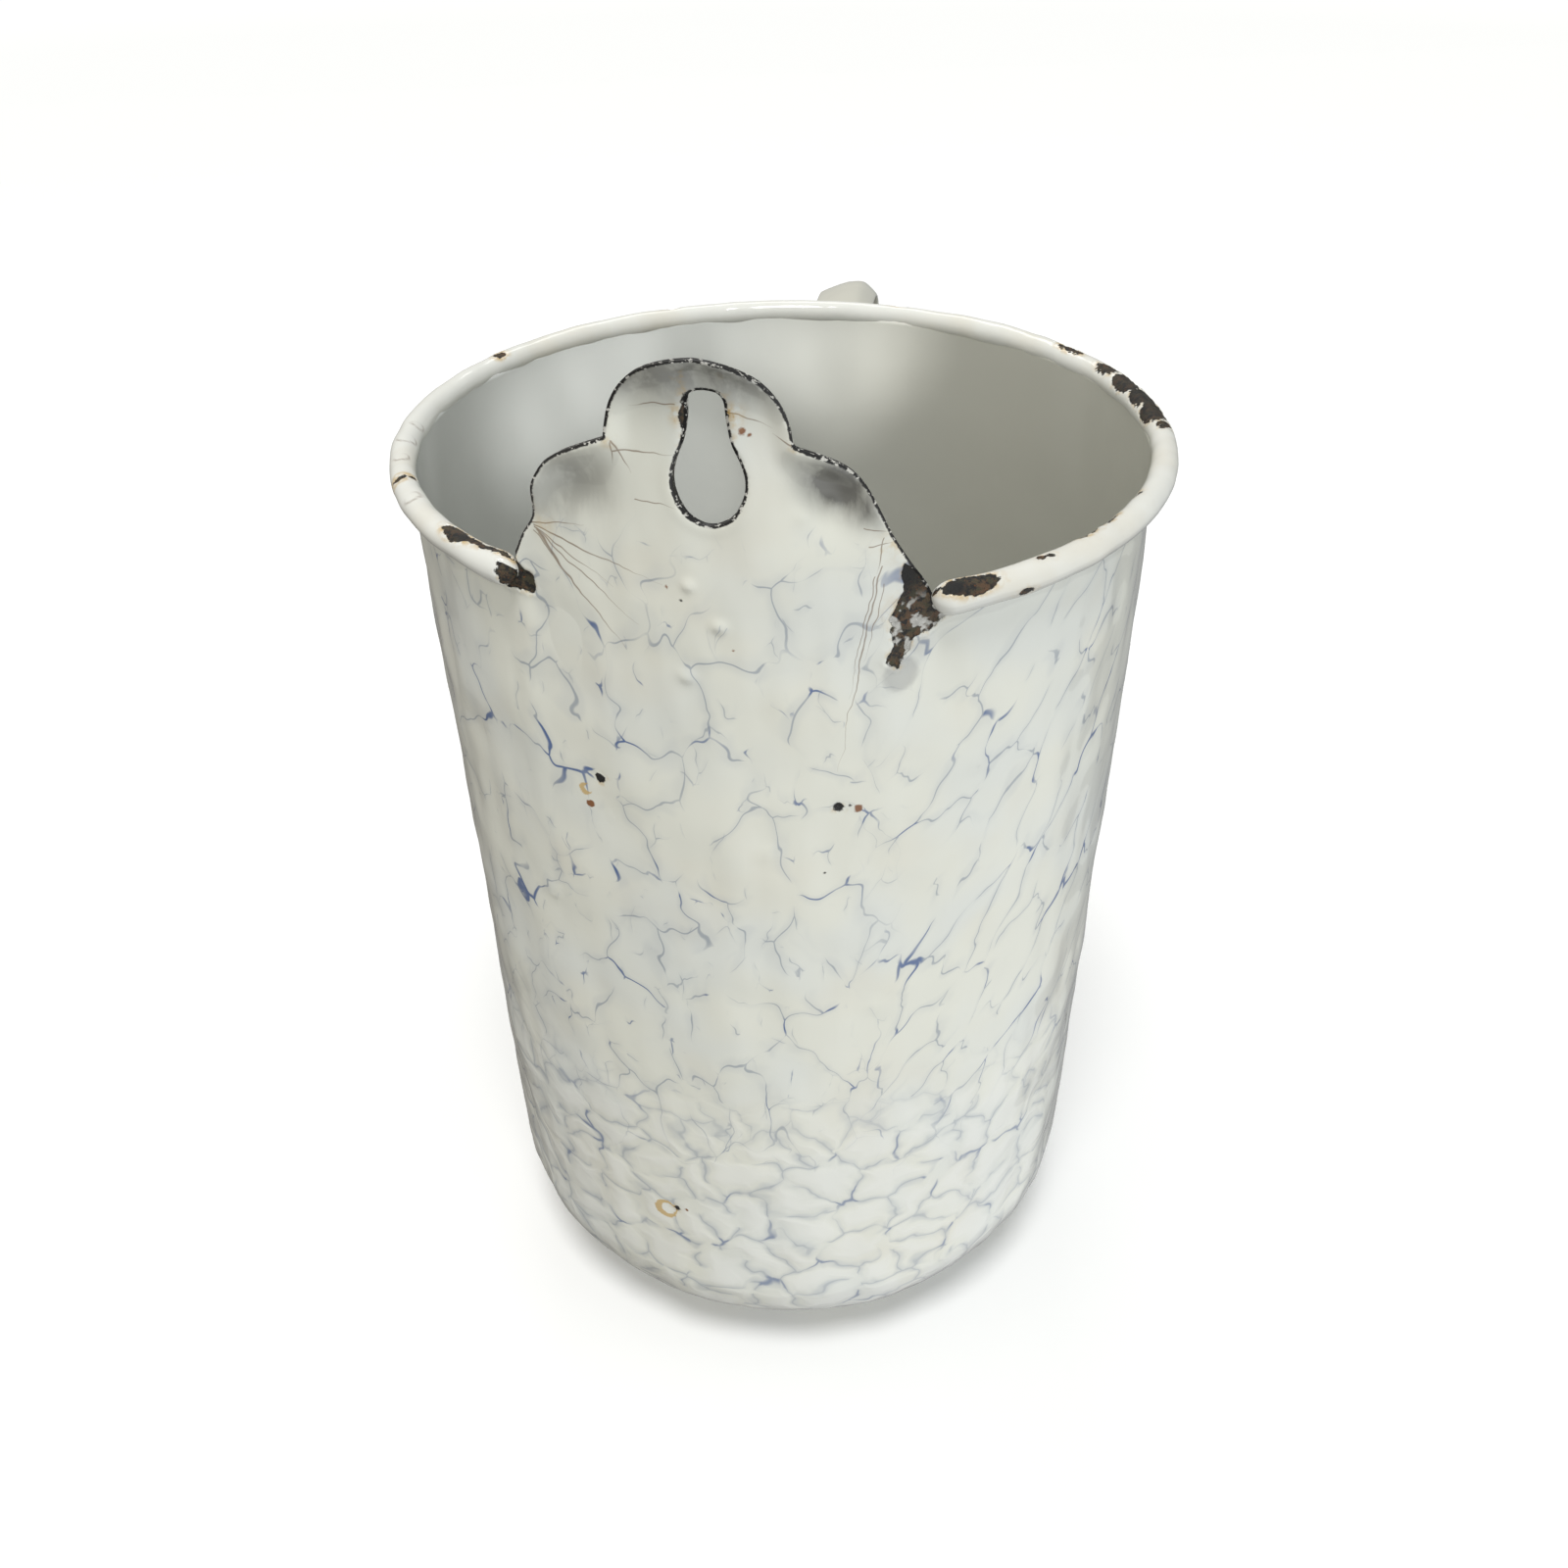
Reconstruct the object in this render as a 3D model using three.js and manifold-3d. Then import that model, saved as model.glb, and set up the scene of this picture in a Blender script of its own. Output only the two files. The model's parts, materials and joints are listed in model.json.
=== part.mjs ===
// Enamelled steel wall can (an irrigator can): a drawn can with a rolled rim, a hanging tab with a
// keyhole, a strap handle opposite the tab and a hose outlet at the foot below the handle.
//
// Millimetres, +Z up. The origin is the centre of the flat foot, on the can's axis.
// The tab faces -Y; the handle and the outlet face +Y.

import * as THREE from 'three';
import { mergeVertices } from 'three/addons/utils/BufferGeometryUtils.js';
import Module from 'manifold-3d';

// ---- driving dimensions -------------------------------------------------------------------

const RIM_RADIUS = 64; // outside of the rolled rim
const ROLL_RADIUS = 2.1; // outside of the roll's own section
const ROLL_HEIGHT = 171; // centre of the roll above the foot
const WALL = 1.0; // steel sheet with an enamel coat on both faces
const TOP_RADIUS = 60.9; // outside of the wall just under the roll
const FOOT_RADIUS = 57.6; // where the straight wall meets the corner curve
const CORNER_RADIUS = 25.7; // outside of the curve between wall and foot
const SEGMENTS = 64; // facets around the can

const ROLL_START = 190; // angles around the roll's section, in degrees: where the sheet leaves
const ROLL_END = -115; // the wall, and where its curled edge stops short of it
const ROLL_STEPS = 13;

const TAB_HALF_WIDTH = 29; // where the tab meets the ends of the roll
const TAB_RISE = 34.2; // top of the tab above the roll's centre
const LOBE_RADIUS = 12; // the tab's middle lobe
const LOBE_HALF_WIDTH = 11.8; // half width of the middle lobe at the notches beside it
const SHOULDER_HALF_WIDTH = 23.9; // the round shoulders beside the middle lobe

const KEYHOLE_RADIUS = 4.8; // the round hole that passes over a nail's head
const KEYHOLE_RISE = 17.0; // its centre above the roll's centre
const SLOT_WIDTH = 5.2; // the slot above it that the nail slides into
const SLOT_RISE = 27.6; // centre of the slot's round top above the roll's centre

const STRAP_WIDTH = 12;
const STRAP_THICKNESS = 2.4;
const STRAP_TOP = 152; // height of the strap's upper foot on the wall
const STRAP_BOTTOM = 82; // height of its lower foot
const STRAP_CREST = 169.8; // highest point of the strap's outer face
const STRAP_CREST_RADIUS = 84; // distance of that point from the can's axis
const STRAP_REACH = 95; // furthest point of the strap from the can's axis
const FOOT_PAD = 7; // half length of the strap that lies flat on the wall at each foot

const OUTLET_HEIGHT = 17; // centre of the outlet tube above the foot
const OUTLET_RADIUS = 4.6;
const OUTLET_BORE = 3.2;
const OUTLET_REACH = 92; // open end of the outlet from the can's axis
const HOSE_BEAD_RADIUS = 5.6; // the swelling that keeps a hose on
const HOSE_BEAD_INSET = 4; // its centre, in from the outlet's open end
const OUTLET_FLARE_RADIUS = 7.6; // the flared foot that is welded to the wall
const OUTLET_FLARE_LENGTH = 9;
const OUTLET_SEGMENTS = 32;

const SEAT_GAP = 0.3; // space left for the weld between a welded piece and the wall

// ---- helpers ------------------------------------------------------------------------------

const wasm = await Module();
wasm.setup();

const rad = THREE.MathUtils.degToRad;
const point = (x, y) => new THREE.Vector2(x, y);

// Points along an arc of a circle, both ends included. Angles are in degrees.
function arc(cx, cy, radius, from, to, steps) {
  return Array.from({ length: steps + 1 }, (_, i) => {
    const angle = rad(from + ((to - from) * i) / steps);
    return point(cx + radius * Math.cos(angle), cy + radius * Math.sin(angle));
  });
}

// A ring or a solid of revolution around Z from a section in (radius, height).
function lathe(section, segments = SEGMENTS) {
  return new THREE.LatheGeometry(section, segments).rotateX(Math.PI / 2);
}

function toSolid(geometry) {
  const bare = geometry.clone();
  bare.deleteAttribute('normal');
  bare.deleteAttribute('uv');
  const merged = mergeVertices(bare, 1e-4);
  return new wasm.Manifold(new wasm.Mesh({
    numProp: 3,
    vertProperties: new Float32Array(merged.attributes.position.array),
    triVerts: new Uint32Array(merged.index.array),
  }));
}

function toGeometry(solid) {
  const mesh = solid.getMesh();
  const geometry = new THREE.BufferGeometry();
  geometry.setAttribute('position', new THREE.BufferAttribute(mesh.vertProperties, 3));
  geometry.setIndex(new THREE.BufferAttribute(mesh.triVerts, 1));
  geometry.computeVertexNormals();
  return geometry;
}

function enamel(color) {
  return new THREE.MeshStandardMaterial({ color, roughness: 0.15, metalness: 0 });
}

// The outside radius of the wall at a height above the foot, on its straight part.
function wallRadius(height) {
  const slope = (TOP_RADIUS - FOOT_RADIUS) / (ROLL_HEIGHT - CORNER_RADIUS);
  return FOOT_RADIUS + slope * (height - CORNER_RADIUS);
}

// ---- body: foot, wall, rolled rim and hanging tab in one sheet ------------------------------

// The outside or inside of the can as half a section, from the axis up to a height.
function canProfile(inset, top) {
  const corner = arc(
    FOOT_RADIUS - CORNER_RADIUS, CORNER_RADIUS, CORNER_RADIUS - inset, -90, 0, 10,
  );
  return [
    point(0, inset),
    ...corner,
    point(TOP_RADIUS - inset, ROLL_HEIGHT),
    point(TOP_RADIUS - inset, top),
  ];
}

// The curl of the rim: a strip of sheet rolled outward over the top and back under.
function rollSection() {
  const centre = RIM_RADIUS - ROLL_RADIUS;
  const skin = arc(centre, ROLL_HEIGHT, ROLL_RADIUS, ROLL_START, ROLL_END, ROLL_STEPS);
  const inside = arc(centre, ROLL_HEIGHT, ROLL_RADIUS - WALL, ROLL_END, ROLL_START, ROLL_STEPS);
  return [...skin, ...inside, skin[0]].reverse();
}

// The tab's outline with its base on the roll's centre line: round shoulders and a middle lobe.
function tabOutline() {
  const lobeCentre = TAB_RISE - LOBE_RADIUS;
  const notchAngle = Math.acos(LOBE_HALF_WIDTH / LOBE_RADIUS);
  const notchRise = lobeCentre + LOBE_RADIUS * Math.sin(notchAngle);
  const neckRise = 0.3 * TAB_RISE;
  const side = SHOULDER_HALF_WIDTH;
  const outline = new THREE.Shape();
  outline.moveTo(TAB_HALF_WIDTH, 0);
  outline.bezierCurveTo(TAB_HALF_WIDTH - 1, 5, side + 1, 0.7 * neckRise, side, neckRise);
  outline.bezierCurveTo(side - 0.6, notchRise - 7, side - 4, notchRise - 1, LOBE_HALF_WIDTH, notchRise);
  outline.absarc(0, lobeCentre, LOBE_RADIUS, notchAngle, Math.PI - notchAngle, false);
  outline.bezierCurveTo(4 - side, notchRise - 1, 0.6 - side, notchRise - 7, -side, neckRise);
  outline.bezierCurveTo(-side - 1, 0.7 * neckRise, 1 - TAB_HALF_WIDTH, 5, -TAB_HALF_WIDTH, 0);
  return outline.getPoints(8);
}

// A prism whose outline is drawn in (x, height above the roll's centre) and runs along Y.
function prismAlongY(outline, yFrom, yTo) {
  const prism = new THREE.ExtrudeGeometry(new THREE.Shape(outline), {
    depth: yTo - yFrom, bevelEnabled: false, curveSegments: 12,
  });
  return toSolid(prism.rotateX(Math.PI / 2).translate(0, yTo, ROLL_HEIGHT));
}

function keyhole() {
  const slot = SLOT_WIDTH / 2;
  const meet = Math.asin(slot / KEYHOLE_RADIUS);
  const outline = new THREE.Shape();
  outline.absarc(0, KEYHOLE_RISE, KEYHOLE_RADIUS, Math.PI / 2 + meet, Math.PI * 2.5 - meet, false);
  outline.absarc(0, SLOT_RISE, slot, 0, Math.PI, false);
  return prismAlongY(outline.getPoints(12), -RIM_RADIUS - 10, -RIM_RADIUS / 2);
}

function outletAxis(geometry) {
  // Turns a shape made around Z to lie along +Y at the outlet's height.
  return geometry.rotateX(-Math.PI / 2).translate(0, 0, OUTLET_HEIGHT);
}

function bodyCan() {
  const far = RIM_RADIUS + 20;
  const tabTop = ROLL_HEIGHT + TAB_RISE + 2;
  const sheet = toSolid(lathe([
    ...canProfile(0, tabTop),
    ...canProfile(WALL, tabTop).reverse(),
  ]));

  const aboveRim = [
    ...tabOutline(), point(-far, 0), point(-far, 2 * TAB_RISE), point(far, 2 * TAB_RISE), point(far, 0),
  ];
  const frontCut = prismAlongY(aboveRim, -far, 0);
  const backCut = toSolid(new THREE.BoxGeometry(2 * far, far, 2 * TAB_RISE)
    .translate(0, far / 2 - 0.5, ROLL_HEIGHT + TAB_RISE));

  const reach = 2 * far;
  const tabSector = prismAlongY(
    [point(-TAB_HALF_WIDTH, -9), point(TAB_HALF_WIDTH, -9), point(TAB_HALF_WIDTH, 9),
      point(-TAB_HALF_WIDTH, 9)],
    -reach, 0,
  );
  const roll = toSolid(lathe(rollSection())).subtract(tabSector);

  const bore = toSolid(outletAxis(new THREE.CylinderGeometry(
    OUTLET_BORE, OUTLET_BORE, FOOT_RADIUS, OUTLET_SEGMENTS,
  ).rotateX(Math.PI / 2).translate(0, 0, FOOT_RADIUS)));

  const can = sheet.subtract(frontCut).subtract(backCut).add(roll);
  return toGeometry(can.subtract(keyhole()).subtract(bore));
}

// ---- handle: one strap bent to a loop, its two feet flat on the wall ------------------------

function strapPath() {
  const half = STRAP_THICKNESS / 2;
  const seat = (height) => wallRadius(height) + SEAT_GAP + half + 0.05;
  const at = (y, z) => new THREE.Vector3(0, y, z);
  const crest = at(STRAP_CREST_RADIUS, STRAP_CREST - half);
  const outer = at(STRAP_REACH - half, STRAP_CREST - 20);
  const lower = at(STRAP_REACH - 3 - half, STRAP_BOTTOM + 26);
  const upperEnd = at(seat(STRAP_TOP + FOOT_PAD), STRAP_TOP - FOOT_PAD);
  const upperPad = at(seat(STRAP_TOP + FOOT_PAD), STRAP_TOP + FOOT_PAD);
  const lowerPad = at(seat(STRAP_BOTTOM + FOOT_PAD), STRAP_BOTTOM + FOOT_PAD);
  const lowerEnd = at(seat(STRAP_BOTTOM + FOOT_PAD), STRAP_BOTTOM - FOOT_PAD);
  const path = new THREE.CurvePath();
  path.add(new THREE.LineCurve3(upperEnd, upperPad));
  path.add(new THREE.CubicBezierCurve3(
    upperPad, at(upperPad.y, upperPad.z + 6), at(crest.y - 12, crest.z), crest,
  ));
  path.add(new THREE.CubicBezierCurve3(
    crest, at(crest.y + 6, crest.z), at(outer.y, outer.z + 11), outer,
  ));
  path.add(new THREE.CubicBezierCurve3(
    outer, at(outer.y, outer.z - 16), at(lower.y + 1, lower.z + 14), lower,
  ));
  path.add(new THREE.CubicBezierCurve3(
    lower, at(lower.y - 2, lower.z - 20), at(lowerPad.y, lowerPad.z + 10), lowerPad,
  ));
  path.add(new THREE.LineCurve3(lowerPad, lowerEnd));
  return path;
}

function handleStrap() {
  const half = STRAP_THICKNESS / 2;
  const side = STRAP_WIDTH / 2 - half;
  const section = new THREE.Shape();
  section.absarc(0, side, half, 0, Math.PI, false);
  section.absarc(0, -side, half, Math.PI, 2 * Math.PI, false);
  return new THREE.ExtrudeGeometry(section, {
    steps: 64, extrudePath: strapPath(), curveSegments: 5,
  });
}

// ---- outlet: a drawn tube with a flared foot and a bead for the hose ------------------------

function outletSpout() {
  const beadCentre = OUTLET_REACH - HOSE_BEAD_INSET;
  const flareFrom = FOOT_RADIUS - 8;
  const flareTo = FOOT_RADIUS + OUTLET_FLARE_LENGTH;
  const section = [
    point(OUTLET_BORE, flareFrom),
    point(OUTLET_FLARE_RADIUS, flareFrom),
    point(OUTLET_FLARE_RADIUS, FOOT_RADIUS - 1),
    point(OUTLET_RADIUS + 1.1, FOOT_RADIUS + 2),
    point(OUTLET_RADIUS + 0.3, FOOT_RADIUS + 5),
    point(OUTLET_RADIUS, flareTo),
    ...arc(OUTLET_RADIUS - 1.5, beadCentre, HOSE_BEAD_RADIUS - OUTLET_RADIUS + 1.5, -50, 50, 6),
    point(OUTLET_RADIUS - 0.3, OUTLET_REACH - 0.5),
    point(OUTLET_RADIUS - 0.7, OUTLET_REACH),
    point(OUTLET_BORE, OUTLET_REACH),
    point(OUTLET_BORE, flareFrom),
  ];
  const tube = toSolid(outletAxis(lathe(section, OUTLET_SEGMENTS)));
  const seat = toSolid(lathe([...canProfile(-SEAT_GAP, ROLL_HEIGHT + 1), point(0, ROLL_HEIGHT + 1)]));
  return toGeometry(tube.subtract(seat));
}

// ---- the assembled can ----------------------------------------------------------------------

const can = new THREE.Group();

function addPiece(name, geometry, color) {
  const piece = new THREE.Mesh(geometry, enamel(color));
  piece.name = name;
  can.add(piece);
}

addPiece('body_can', bodyCan(), 0xdddcd4);
addPiece('handle_strap', handleStrap(), 0xdcdbd2);
addPiece('outlet_spout', outletSpout(), 0xdad9d0);

export default can;
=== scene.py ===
"""Enamelled wall can with a hanging tab: the looks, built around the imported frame.

Shapes are worked out in millimetres and become metres when a mesh is made. Places on the can are
given as (across, height): across is the distance round the wall from the tab's middle, at the
radius of the wall's top, and height is above the foot.
"""

import json
import math

import bmesh
import bpy
import numpy as np
from mathutils import Matrix, Vector, noise
from mathutils.geometry import delaunay_2d_cdt

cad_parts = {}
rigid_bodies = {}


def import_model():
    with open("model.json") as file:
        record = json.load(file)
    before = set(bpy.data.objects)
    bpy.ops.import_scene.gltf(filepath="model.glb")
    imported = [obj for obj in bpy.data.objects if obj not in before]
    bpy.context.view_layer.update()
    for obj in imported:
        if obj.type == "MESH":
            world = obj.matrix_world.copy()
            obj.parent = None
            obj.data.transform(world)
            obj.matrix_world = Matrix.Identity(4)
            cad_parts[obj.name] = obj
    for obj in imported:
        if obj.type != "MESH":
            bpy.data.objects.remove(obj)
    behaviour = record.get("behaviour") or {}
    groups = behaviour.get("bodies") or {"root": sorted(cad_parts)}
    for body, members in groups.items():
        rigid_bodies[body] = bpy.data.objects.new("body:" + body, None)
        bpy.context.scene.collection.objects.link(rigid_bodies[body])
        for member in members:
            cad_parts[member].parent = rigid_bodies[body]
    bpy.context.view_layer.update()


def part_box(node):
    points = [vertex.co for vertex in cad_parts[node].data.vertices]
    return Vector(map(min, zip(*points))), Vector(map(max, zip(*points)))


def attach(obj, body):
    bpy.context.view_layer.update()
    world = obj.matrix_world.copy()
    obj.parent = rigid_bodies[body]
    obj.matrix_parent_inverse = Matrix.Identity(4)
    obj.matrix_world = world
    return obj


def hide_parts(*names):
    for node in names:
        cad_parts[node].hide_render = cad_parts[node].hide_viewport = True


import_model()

MM = 0.001
can_high = np.array(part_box("body_can")[1]) / MM
strap_low, strap_high = (np.array(corner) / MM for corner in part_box("handle_strap"))
spout_low, spout_high = (np.array(corner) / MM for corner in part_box("outlet_spout"))

# ---- sizes, in millimetres ------------------------------------------------------------------

RIM_RADIUS = can_high[0]
TAB_RISE = 34.2  # the tab above the roll's centre
ROLL_HEIGHT = can_high[2] - TAB_RISE
ROLL_RADIUS = 2.1
ROLL_CENTRE = RIM_RADIUS - ROLL_RADIUS
TOP_RADIUS = RIM_RADIUS - 3.1
FOOT_RADIUS = 57.6
CORNER_RADIUS = 25.7
FLAT_RADIUS = FOOT_RADIUS - CORNER_RADIUS
CORNER_LENGTH = CORNER_RADIUS * math.pi / 2
SHEET = 1.0  # steel with an enamel coat on both faces
CORE_GAP = 0.01  # between the outer and the inner half of the sheet, out of sight
ENAMEL = 0.26  # depth of a chip in the outer coat

OUTLET_RADIUS = 4.6
OUTLET_BORE = 3.2
HOSE_BEAD = 5.6
LIP_TAPER = 0.5  # how much narrower the tube is at its lip
outlet_height = spout_low[2] + spout_high[0]  # the flare is trimmed on its upper side
outlet_reach = spout_high[1]
bead_reach = outlet_reach - 4

PIN_CIRCLE = 21.0  # three pins held the foot in the kiln
PIN_ANGLES = np.radians((10, 130, 250))

STRAP_HALF = 1.2  # half of the strap's thickness
STRAP_STEP = 0.7
UPPER_PAD = 11  # where the strap leaves the wall, below its top
LOWER_PAD = 14  # and above its foot
CREST_REACH = 84.0  # from the can's axis
STRAP_TONGUE = 6.0  # the length over which its ends round off
STRAP_AROUND = np.radians(np.linspace(0, 360, 44, endpoint=False))

PANEL_HALF_WIDTH = 37.0  # the front panel, meshed finely: round the tab and the roll's ends
PANEL_FOOT = 150.0
PANEL_STEP = 0.62
TAB_EDGE_ANGLE = 28.4  # where the roll's ends meet the tab, in degrees from the tab's middle


# ---- small numeric helpers ------------------------------------------------------------------

def smooth(low, high, value):
    """0 below low and 1 above high, with a soft step between; low may be the larger."""
    t = np.clip((value - low) / (high - low), 0, 1)
    return t * t * (3 - 2 * t)


def bump(distance, radius):
    """1 at distance 0, falling softly to nearly 0 at twice the radius."""
    return np.exp(-(distance / radius) ** 2)


def rounded_end(from_end, length):
    """0 at a round end, rising along a quarter ellipse to 1 at that length from it."""
    return np.sqrt(1 - np.clip(1 - from_end / length, 0, 1) ** 2)


def turned(degrees):
    """The same angle between -180 and 180."""
    return (degrees + 180) % 360 - 180


def fractal(points, scale, octaves=3, seed=0.0):
    """Seeded fractal noise at points in millimetres, about -1 to 1; scale is its feature size."""
    offset = Vector((seed * 17.3, seed * 5.1, seed * 11.7))
    return np.array([
        noise.fractal(Vector(p) / scale + offset, 1.0, 2.0, octaves) for p in points
    ])


def pushed_out(points, centres, amount):
    """The points moved that far away from their centres."""
    push = points - centres
    return points + push * (amount / np.linalg.norm(push, axis=1))[:, None]


def bezier(start, lead, trail, end, steps=10):
    """Points of a cubic curve, without its end point."""
    t = np.linspace(0, 1, steps, endpoint=False)[:, None]
    start, lead, trail, end = (np.array(p, float) for p in (start, lead, trail, end))
    return (start * (1 - t) ** 3 + 3 * lead * t * (1 - t) ** 2
            + 3 * trail * t ** 2 * (1 - t) + end * t ** 3)


def curve_through(points, per_span=6):
    """A smooth open curve through given points, ends included."""
    p = np.array(points, float)
    p = np.vstack([2 * p[0] - p[1], p, 2 * p[-1] - p[-2]])
    t = np.linspace(0, 1, per_span, endpoint=False)[:, None]
    spans = []
    for a, b, c, d in zip(p, p[1:], p[2:], p[3:]):
        spans.append(0.5 * (2 * b + (c - a) * t + (2 * a - 5 * b + 4 * c - d) * t ** 2
                            + (3 * b - a - 3 * c + d) * t ** 3))
    return np.vstack([*spans, p[-2:-1]])


def resample(points, step, closed=False):
    """Points evenly spaced along a polyline."""
    p = np.vstack([points, points[:1]]) if closed else np.array(points)
    run = np.concatenate([[0], np.cumsum(np.linalg.norm(np.diff(p, axis=0), axis=1))])
    count = max(2, int(round(run[-1] / step)))
    at = np.linspace(0, run[-1], count, endpoint=False) if closed else np.linspace(0, run[-1], count)
    return np.stack([np.interp(at, run, p[:, k]) for k in range(p.shape[1])], 1)


def inside(points, loop):
    """Which points lie inside a closed outline."""
    x, y = points[:, 0], points[:, 1]
    result = np.zeros(len(points), bool)
    for (x0, y0), (x1, y1) in zip(loop, np.roll(loop, -1, axis=0)):
        if y0 != y1:
            crosses = ((y0 > y) != (y1 > y)) & (x < (x1 - x0) * (y - y0) / (y1 - y0) + x0)
            result ^= crosses
    return result


def distance_to(points, line, closed=False):
    """Distance from each point to a polyline."""
    ends = np.roll(line, -1, axis=0) if closed else line[1:]
    starts = line if closed else line[:-1]
    nearest = np.full(len(points), 1e9)
    for a, b in zip(starts, ends):
        along = b - a
        t = np.clip((points - a) @ along / max(along @ along, 1e-12), 0, 1)
        gap = np.linalg.norm(points - a - t[:, None] * along, axis=1)
        nearest = np.minimum(nearest, gap)
    return nearest


def new_object(name, data):
    thing = bpy.data.objects.new(name, data)
    bpy.context.scene.collection.objects.link(thing)
    return thing


def new_piece(name, points, faces, replaced, material):
    """A smooth-shaded mesh in the row frame, from points in millimetres."""
    mesh = bpy.data.meshes.new(name)
    mesh.from_pydata([tuple(p) for p in np.asarray(points) * MM], [], faces)
    mesh.validate()
    shape = bmesh.new()
    shape.from_mesh(mesh)
    bmesh.ops.recalc_face_normals(shape, faces=shape.faces)
    shape.to_mesh(mesh)
    shape.free()
    mesh.polygons.foreach_set("use_smooth", [True] * len(mesh.polygons))
    mesh.materials.append(material)
    mesh.update()
    piece = new_object(name, mesh)
    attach(piece, "root")
    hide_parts(replaced)
    return piece


def paint(piece, **fields):
    """Stores one number per vertex under each name, for the materials to read."""
    for name, values in fields.items():
        layer = piece.data.attributes.new(name, "FLOAT", "POINT")
        layer.data.foreach_set("value", np.asarray(values, np.float32))


def grid_faces(rows, columns, wrap_rows=False):
    """Quads over a grid of points numbered row by row, whose columns close to a ring."""
    faces = []
    for i in range(rows if wrap_rows else rows - 1):
        for j in range(columns):
            right, up = (j + 1) % columns, (i + 1) % rows
            faces.append((i * columns + j, i * columns + right,
                          up * columns + right, up * columns + j))
    return faces


# ---- the can's outside as a surface ---------------------------------------------------------
# h runs along the developed section: on the wall it is the height above the foot, and below the
# wall it goes on down the corner curve and in across the foot to the axis.

WALL_SLOPE = (TOP_RADIUS - FOOT_RADIUS) / (ROLL_HEIGHT - CORNER_RADIUS)
FOOT_START = CORNER_RADIUS - CORNER_LENGTH
FOOT_CENTRE = FOOT_START - FLAT_RADIUS


def profile(h):
    """Radius, height, and the outward normal's radial and upward parts."""
    bend = np.clip((h - CORNER_RADIUS) / CORNER_RADIUS, -math.pi / 2, 0)
    straight = np.clip(h - CORNER_RADIUS, 0, None)
    flat = np.clip(FOOT_START - h, 0, None)
    taper = WALL_SLOPE * np.minimum(straight, ROLL_HEIGHT - CORNER_RADIUS)
    radius = FLAT_RADIUS + CORNER_RADIUS * np.cos(bend) - flat + taper
    height = CORNER_RADIUS * (1 + np.sin(bend)) + straight
    return radius, height, np.cos(bend), np.sin(bend)


def on_can(places, out):
    """Points out millimetres outward of the can's outside face, at (across, h) places."""
    angle = places[:, 0] / TOP_RADIUS
    radius, height, radial, up = profile(places[:, 1])
    radius = radius + out * radial
    return np.stack([radius * np.sin(angle), -radius * np.cos(angle), height + out * up], 1)


# ---- outlines on the front panel, as (across, rise above the roll's centre) -----------------

def tab_outline():
    """From the roll's right end over the tab to its left end."""
    right = curve_through([(30.6, 0), (29.2, 2.7), (27.1, 5.7), (24.3, 10.3), (22.0, 15.0),
                           (20.4, 17.9), (18.2, 20.2), (15.4, 21.9), (11.4, 23.6)])
    angles = np.radians(np.linspace(6, 174, 40))
    lobe = np.stack([-0.7 + 12.0 * np.cos(angles), 23.1 + 12.4 * np.sin(angles)], 1)
    left = curve_through([(-12.7, 23.6), (-16.4, 22.0), (-19.6, 20.4), (-22.2, 18.5),
                          (-24.4, 15.2), (-25.5, 11.9), (-26.5, 9.0), (-28.9, 5.6), (-31.6, 0)])
    return np.vstack([right, lobe, left]) + (0, ROLL_HEIGHT)


def keyhole_outline():
    """The keyhole, closed: a slot with a nearly square top that swells into an oval."""
    half = [(0, 30.7), (1.6, 30.4), (2.35, 29.2), (2.5, 26.6), (3.1, 23.7), (4.2, 21.0),
            (4.75, 18.6), (4.4, 16.1), (3.1, 13.6), (1.3, 12.4), (0, 12.15)]
    loop = half + [(-x, z) for x, z in half[-2:0:-1]]
    closed = curve_through(loop + loop[:1], 4)[:-1]
    return resample(closed + (0.5, ROLL_HEIGHT), 0.5, closed=True)


def chip_beside_roll_end():
    """The big chip below the tab's right foot, round the roll's end."""
    return np.array([(26.0, 5.8), (26.0, 1.6), (25.2, 0.2), (24.4, -3.5), (25.0, -6.2),
                     (24.1, -9.4), (25.8, -10.4), (27.2, -8.4), (28.1, -6.2), (30.2, -5.8),
                     (32.9, -3.2), (31.5, -0.6), (29.8, 1.6), (28.6, 4.2)]) + (0, ROLL_HEIGHT)


def chip_at_left_roll_end():
    return np.array([(-31.2, 3.0), (-29.6, 0.6), (-27.5, -0.3), (-27.9, -3.0), (-33.2, -3.3),
                     (-30.9, -1.0)]) + (0, ROLL_HEIGHT)


# ---- the can's sheet: a grid round the can and a fine panel round the tab --------------------

def lattice(step, low, high):
    """Points on a grid of triangles between two corners."""
    rows = []
    for k, y in enumerate(np.arange(low[1], high[1], step * 0.866)):
        x = np.arange(low[0] + (k % 2) * step / 2, high[0], step)
        rows.append(np.stack([x, np.full(len(x), y)], 1))
    return np.vstack(rows)


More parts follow.
